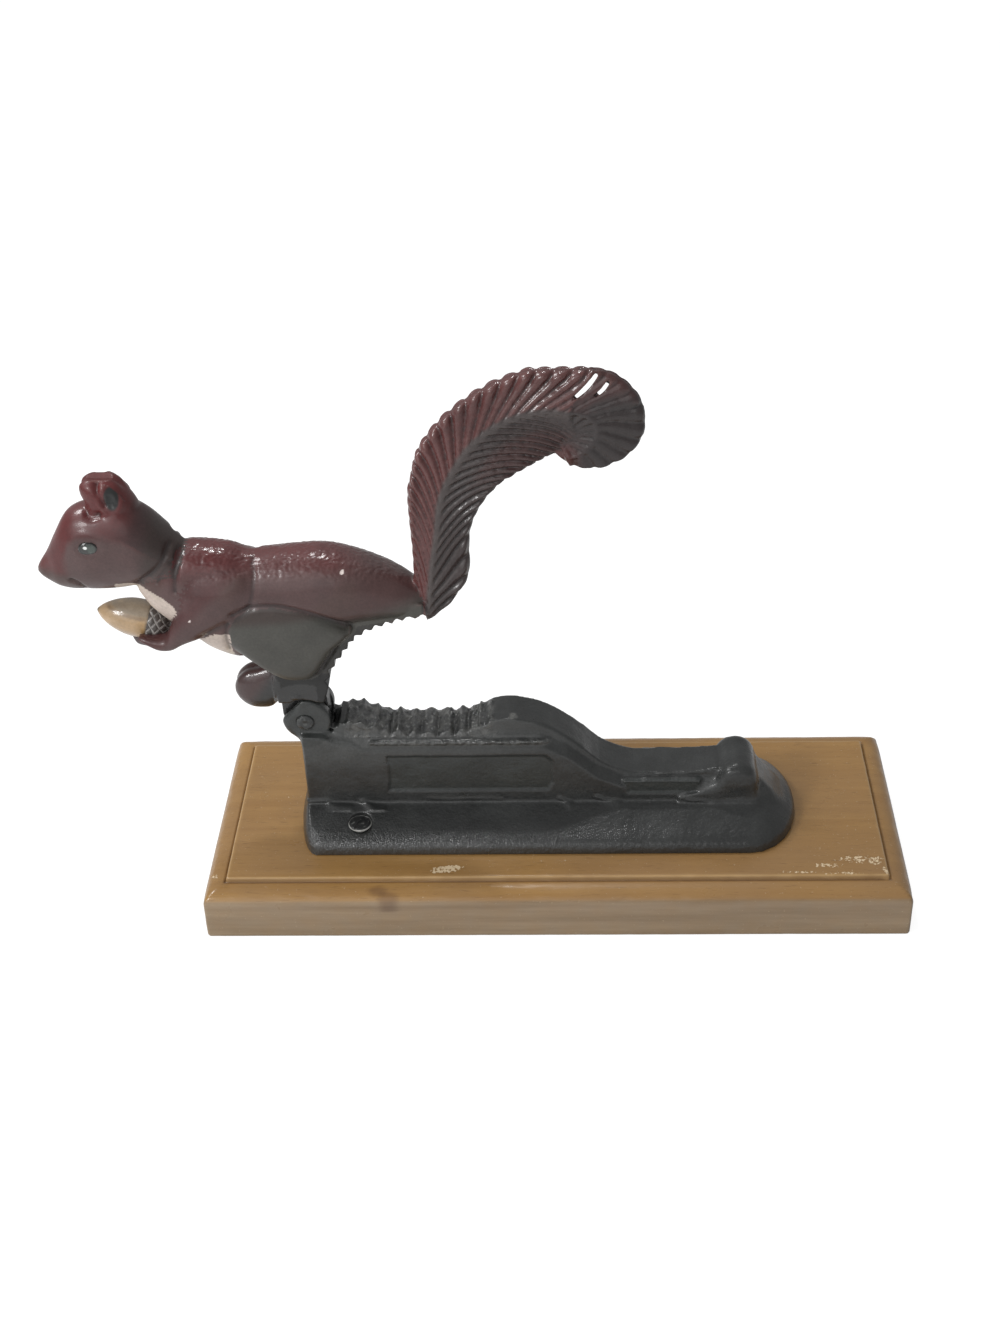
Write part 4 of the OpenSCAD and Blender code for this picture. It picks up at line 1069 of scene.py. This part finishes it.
def build_screws():
    """Slotted flat heads, painted over, on plain shanks."""
    sides = 96
    a = around(sides)
    for name, (x0, y0) in SCREWS.items():
        turn = math.radians(58 if name == "screw_front" else 14)
        rows, tint = [], []
        for r in np.concatenate([np.linspace(0.03, SCREW_R - 0.3, 46),
                                 np.linspace(SCREW_R - 0.27, SCREW_R, 8)]):
            x, y = r * np.cos(a), r * np.sin(a)
            across = x * math.sin(turn) - y * math.cos(turn)
            slot = step(np.abs(across), 0.72, 0.5) * (r < SCREW_R - 0.12)
            z = 0.55 * (1 - (r / SCREW_R) ** 2) - 0.4 * slot
            z = z - 0.22 * math.exp(-((r - SCREW_R + 0.55) / 0.16) ** 2)
            z = z - 0.35 * step(r, SCREW_R - 0.16, SCREW_R)
            rows.append(np.stack([x, y, z], -1))
            tint.append(slot)
        for r, z in ((SCREW_R, -0.4), (SCREW_SHANK, -2.4), (SCREW_SHANK, -16), (0.3, -18.9)):
            rows.append(np.stack([r * np.cos(a), r * np.sin(a), np.full(sides, z)], -1))
            tint.append(np.zeros(sides))
        mesh = mesh_of(skin(rows))
        co, slot = coords(mesh), np.concatenate(tint)
        lumps = grain(co, 0.8, 3.0)
        head = co[:, 2] > -1.2
        co[:, 2] += head * (0.3 + 0.10 * lumps)
        radius = np.hypot(co[:, 0], co[:, 1])
        c = layered((0.018, 0.019, 0.019), [
            # Painted highlight round the rim
            ((0.42, 0.42, 0.40), step(np.abs(radius - SCREW_R + 0.1), 0.24, 0.1) * 0.8),
            ((0.16, 0.165, 0.155), step(lumps, 0.12, 0.4) * (radius < 3) * 0.6),
            # Painted shade in the slot
            ((0.010, 0.010, 0.010), slot * 0.6)])
        finished(name + "_head", mesh, co, DARK_STEEL, "base", [name],
                 origin=np.array([x0, y0, SEAT_Z]), paint={"paint": c})


# ---- board ------------------------------------------------------------------------------

# Chips in the board's varnish: x, y, half length, half width, strength. Then dark stains.
CHIPS = [(-38.6, -33.2, 3.8, 1.6, 1.0), (-34.8, -32.2, 2.6, 1.4, 1.0), (84, -35.2, 6, 0.6, 0.75),
         (93, -31.6, 6, 1.1, 0.62), (102, -28.6, 7, 1.6, 0.66), (109, -29.5, 4, 2.4, 0.64),
         (-118.2, -33.5, 1.1, 0.9, 0.9), (99, -35.6, 9, 0.6, 0.75), (112.6, -34.5, 1.2, 2.2, 0.8),
         (-84, -10, 1.5, 1.0, 0.6), (-96, 6, 9, 0.25, 0.5)]
STAINS = [(-57, -43.4, 4.5, 2.5), (-60.7, -41, 4, 2)]


def board_ring(half_l, half_w, r, z):
    """A rectangle with rounded corners at height z, its sides cut into short steps."""
    counts = (190, 70, 190, 70)
    centres = ((half_l - r, half_w - r), (r - half_l, half_w - r),
               (r - half_l, r - half_w), (half_l - r, r - half_w))
    arcs = []
    for k, centre in enumerate(centres):
        t = np.radians(np.linspace(90 * k, 90 * k + 90, 5))
        arcs.append(centre + r * np.stack([np.cos(t), np.sin(t)], -1))
    ring = []
    for arc, following, count in zip(arcs, arcs[1:] + arcs[:1], counts):
        share = np.linspace(0, 1, count + 2)[1:-1, None]
        ring += [arc, arc[-1] + (following[0] - arc[-1]) * share]
    ring = np.vstack(ring)
    return np.column_stack([ring, np.full(len(ring), z)])


def board_profile():
    """How far in from the edge, and how high: edge, moulding, groove and raised panel."""
    _, half_w, top = BOARD
    round_h = top - STEP_H - EDGE_H
    profile = [(0.5, 0.0), (0.12, 0.15), (0.0, 0.6)]
    profile += [(0.0, z) for z in np.linspace(1.6, EDGE_H - 0.4, 9)]
    profile += [(BORDER * (1 - math.cos(t)), EDGE_H + round_h * math.sin(t))
                for t in np.linspace(0.06, math.pi / 2, 16)]
    profile += [(BORDER + 0.1, top - STEP_H - 0.35), (BORDER + 0.35, top - STEP_H - 0.45),
                (BORDER + 0.6, top - STEP_H), (BORDER + 0.68, top - 0.75),
                (BORDER + 0.8, top - 0.3), (BORDER + 1.05, top - 0.08), (BORDER + 1.5, top)]
    return profile + [(d, top) for d in np.arange(BORDER + 2.3, half_w - 0.3, 1.0)]


def board_wear_and_shade(co, depth, rough, fine):
    """Wear and painted shade, from 0 (dark) through 0.5 (sound) to 1 (bare wood)."""
    half_l, half_w, _ = BOARD
    x, y, z = co.T
    wear_and_shade = np.full(len(co), 0.5)
    for cx, cy, rx, ry, strong in CHIPS:
        d = np.hypot((x - cx + 1.5 * rough) / rx, (y - cy + 0.5 * fine) / ry)
        edge = (1.15, 0.9) if strong > 0.85 else (1.3, 0.4)
        wear_and_shade = np.maximum(wear_and_shade, 0.5 + 0.5 * strong * step(d, *edge) * (z > 14))
    # Painted shade in the groove, deepest along the front
    groove = np.exp(-((depth - BORDER - 0.25) / 0.35) ** 2)
    dark = groove * (0.10 + 0.34 * step(-y, half_w - BORDER - 2.5, half_w - BORDER - 1))
    for cx, cy, rx, ry in STAINS:
        dark += 0.3 * step(np.hypot((x - cx) / rx, (y - cy) / ry), 1.1, 0.4) * (z > 12)
    dark += 0.12 * np.exp(-((z - EDGE_H + 0.1) / 0.35) ** 2) * (depth < 0.3)
    # Painted shade on the right end face
    dark += 0.3 * (x > half_l - 0.8)
    return np.clip(np.where(wear_and_shade <= 0.5, wear_and_shade - dark, wear_and_shade), 0, 1)


def build_board():
    """Board with plain edges, a rounded moulding, a groove and a raised panel."""
    half_l, half_w, _ = BOARD
    rings, depth = [], []
    for d, z in board_profile():
        rings.append(board_ring(half_l - d, half_w - d,
                                min(max(1.3 - 0.1 * d, 0.25), (half_w - d) * 0.9), z))
        depth.append(np.full(len(rings[-1]), d))
    mesh = mesh_of(skin(rings))
    co, depth = coords(mesh), np.concatenate(depth)
    x, y, z = co.T
    rough = grain(co, 0.22, 3.0)
    fine = grain(co * [0.3, 1, 1], 0.9, 5.0)
    arris = np.exp(-((depth - 1.2) / 1.0) ** 2) + np.exp(-((depth - BORDER - 0.9) / 0.5) ** 2)
    long_wave = 0.05 * grain(co * [0.5, 1, 1], 0.06, 2.0)
    mould = step(depth, 0.2, 1.5) * step(depth, BORDER, BORDER - 2)
    ripple = 0.10 * grain(co * [0.25, 1, 1], 0.8, 9.0) * step(x, 60, -40) + 0.03 * fine
    move = -0.09 * arris * step(rough, 0.0, 0.5) + 0.02 * fine + long_wave + mould * ripple
    corner = step(np.abs(x), half_l - 9, half_l) * step(np.abs(y), half_w - 9, half_w)
    move -= 0.35 * corner * step(z, 4, 15) * (0.6 + 0.6 * rough)
    # Painted highlight along the panel's bevel
    bevel_highlight = np.exp(-((depth - BORDER - 0.95) / 0.4) ** 2)
    paint = {"wear_and_shade": board_wear_and_shade(co, depth, rough, fine), "glow": bevel_highlight * (0.75 + 0.4 * rough),
             "side": step(depth, 0.9, 0.2) * (0.85 + 0.15 * rough)}
    co = co + normals(mesh) * move[:, None]
    co[:, 2] = np.maximum(co[:, 2], 0.0)
    finished("moulded_board", mesh, co, WOOD, "base", ["wood_base"],
             origin=np.zeros(3), paint=paint)


# ---- camera, light and floor --------------------------------------------------------------

# Camera: pitch, yaw and roll in degrees, place in metres, focal length in the photo's pixels
CAMERA_TURN, CAMERA_PLACE = (36.06, 2.89, -2.26), (0.00662, -0.48451, 0.43665)
FOCAL_PX, PHOTO_H, SENSOR = 1777.3, 1329, 36.0


def build_camera():
    """The photograph's own viewing angle, solved from the board's corners."""
    pitch, yaw, roll = (math.radians(a) for a in CAMERA_TURN)
    turn = (Matrix.Rotation(yaw, 4, "Z") @ Matrix.Rotation(math.pi / 2 - pitch, 4, "X")
            @ Matrix.Rotation(roll, 4, "Z"))
    data = bpy.data.cameras.new("camera")
    data.sensor_width = SENSOR
    data.lens = FOCAL_PX * SENSOR / PHOTO_H
    data.clip_start, data.clip_end = 0.01, 50
    camera = placed("camera", data)
    camera.matrix_world = Matrix.Translation(CAMERA_PLACE) @ turn
    bpy.context.scene.camera = camera


def area_light(name, place, target, size, power):
    """A round lamp at a place, turned to a target."""
    data = bpy.data.lights.new(name, "AREA")
    data.shape, data.size, data.energy = "DISK", size, power
    lamp = placed(name, data)
    lamp.location = place
    lamp.rotation_mode = "QUATERNION"
    lamp.rotation_quaternion = (Vector(target) - Vector(place)).to_track_quat("-Z", "Y")


def build_stage():
    """Lamps, and a world and floor that are white to the camera and greyer to other rays."""
    area_light("key", (-0.58, 0.10, 0.72), (0, 0, 0.06), 0.22, 2.4)
    area_light("glint", (-0.12, 0.34, 0.95), (0, 0, 0.06), 0.09, 1.5)
    area_light("front", (-0.74, -0.60, 0.72), (-0.03, 0, 0.06), 0.26, 4.2)
    area_light("fill", (-0.45, -1.3, 0.75), (0, 0, 0.06), 1.3, 4.0)
    world = bpy.data.worlds.new("studio")
    bpy.context.scene.world = world
    world.use_nodes = True
    tree = world.node_tree
    tree.nodes.clear()
    rays = node(tree, "LightPath").outputs
    light = node(tree, "Background", {"Color": grey(1.0), "Strength": 0.36})
    seen = node(tree, "Background", {"Color": grey(1.0), "Strength": 1.0})
    mixed = node(tree, "MixShader", {0: rays["Is Camera Ray"], 1: light.outputs[0],
                                     2: seen.outputs[0]})
    node(tree, "OutputWorld", {"Surface": mixed.outputs[0]})
    corners = [(-4, -4, -0.0002), (4, -4, -0.0002), (4, 4, -0.0002), (-4, 4, -0.0002)]
    floor = placed("floor", mesh_of((corners, [[0, 1, 2, 3]]), outward=False))
    material, tree = new_material("pale_floor")
    rays = node(tree, "LightPath").outputs
    plain = node(tree, "BsdfDiffuse", {"Color": grey(0.82)})
    part = node(tree, "BsdfDiffuse", {"Color": grey(0.30)})
    glow = node(tree, "Emission", {"Color": grey(1.0), "Strength": 0.88})
    white = node(tree, "AddShader", {0: part.outputs[0], 1: glow.outputs[0]})
    mixed = node(tree, "MixShader", {0: rays["Is Camera Ray"], 1: plain.outputs[0],
                                     2: white.outputs[0]})
    node(tree, "OutputMaterial", {"Surface": mixed.outputs[0]})
    floor.data.materials.append(material)
    bpy.context.scene.view_settings.view_transform = "Standard"


build_camera()
build_stage()
build_board()
build_base()
build_pin()
build_screws()
build_squirrel()
build_acorn()
build_eyes()
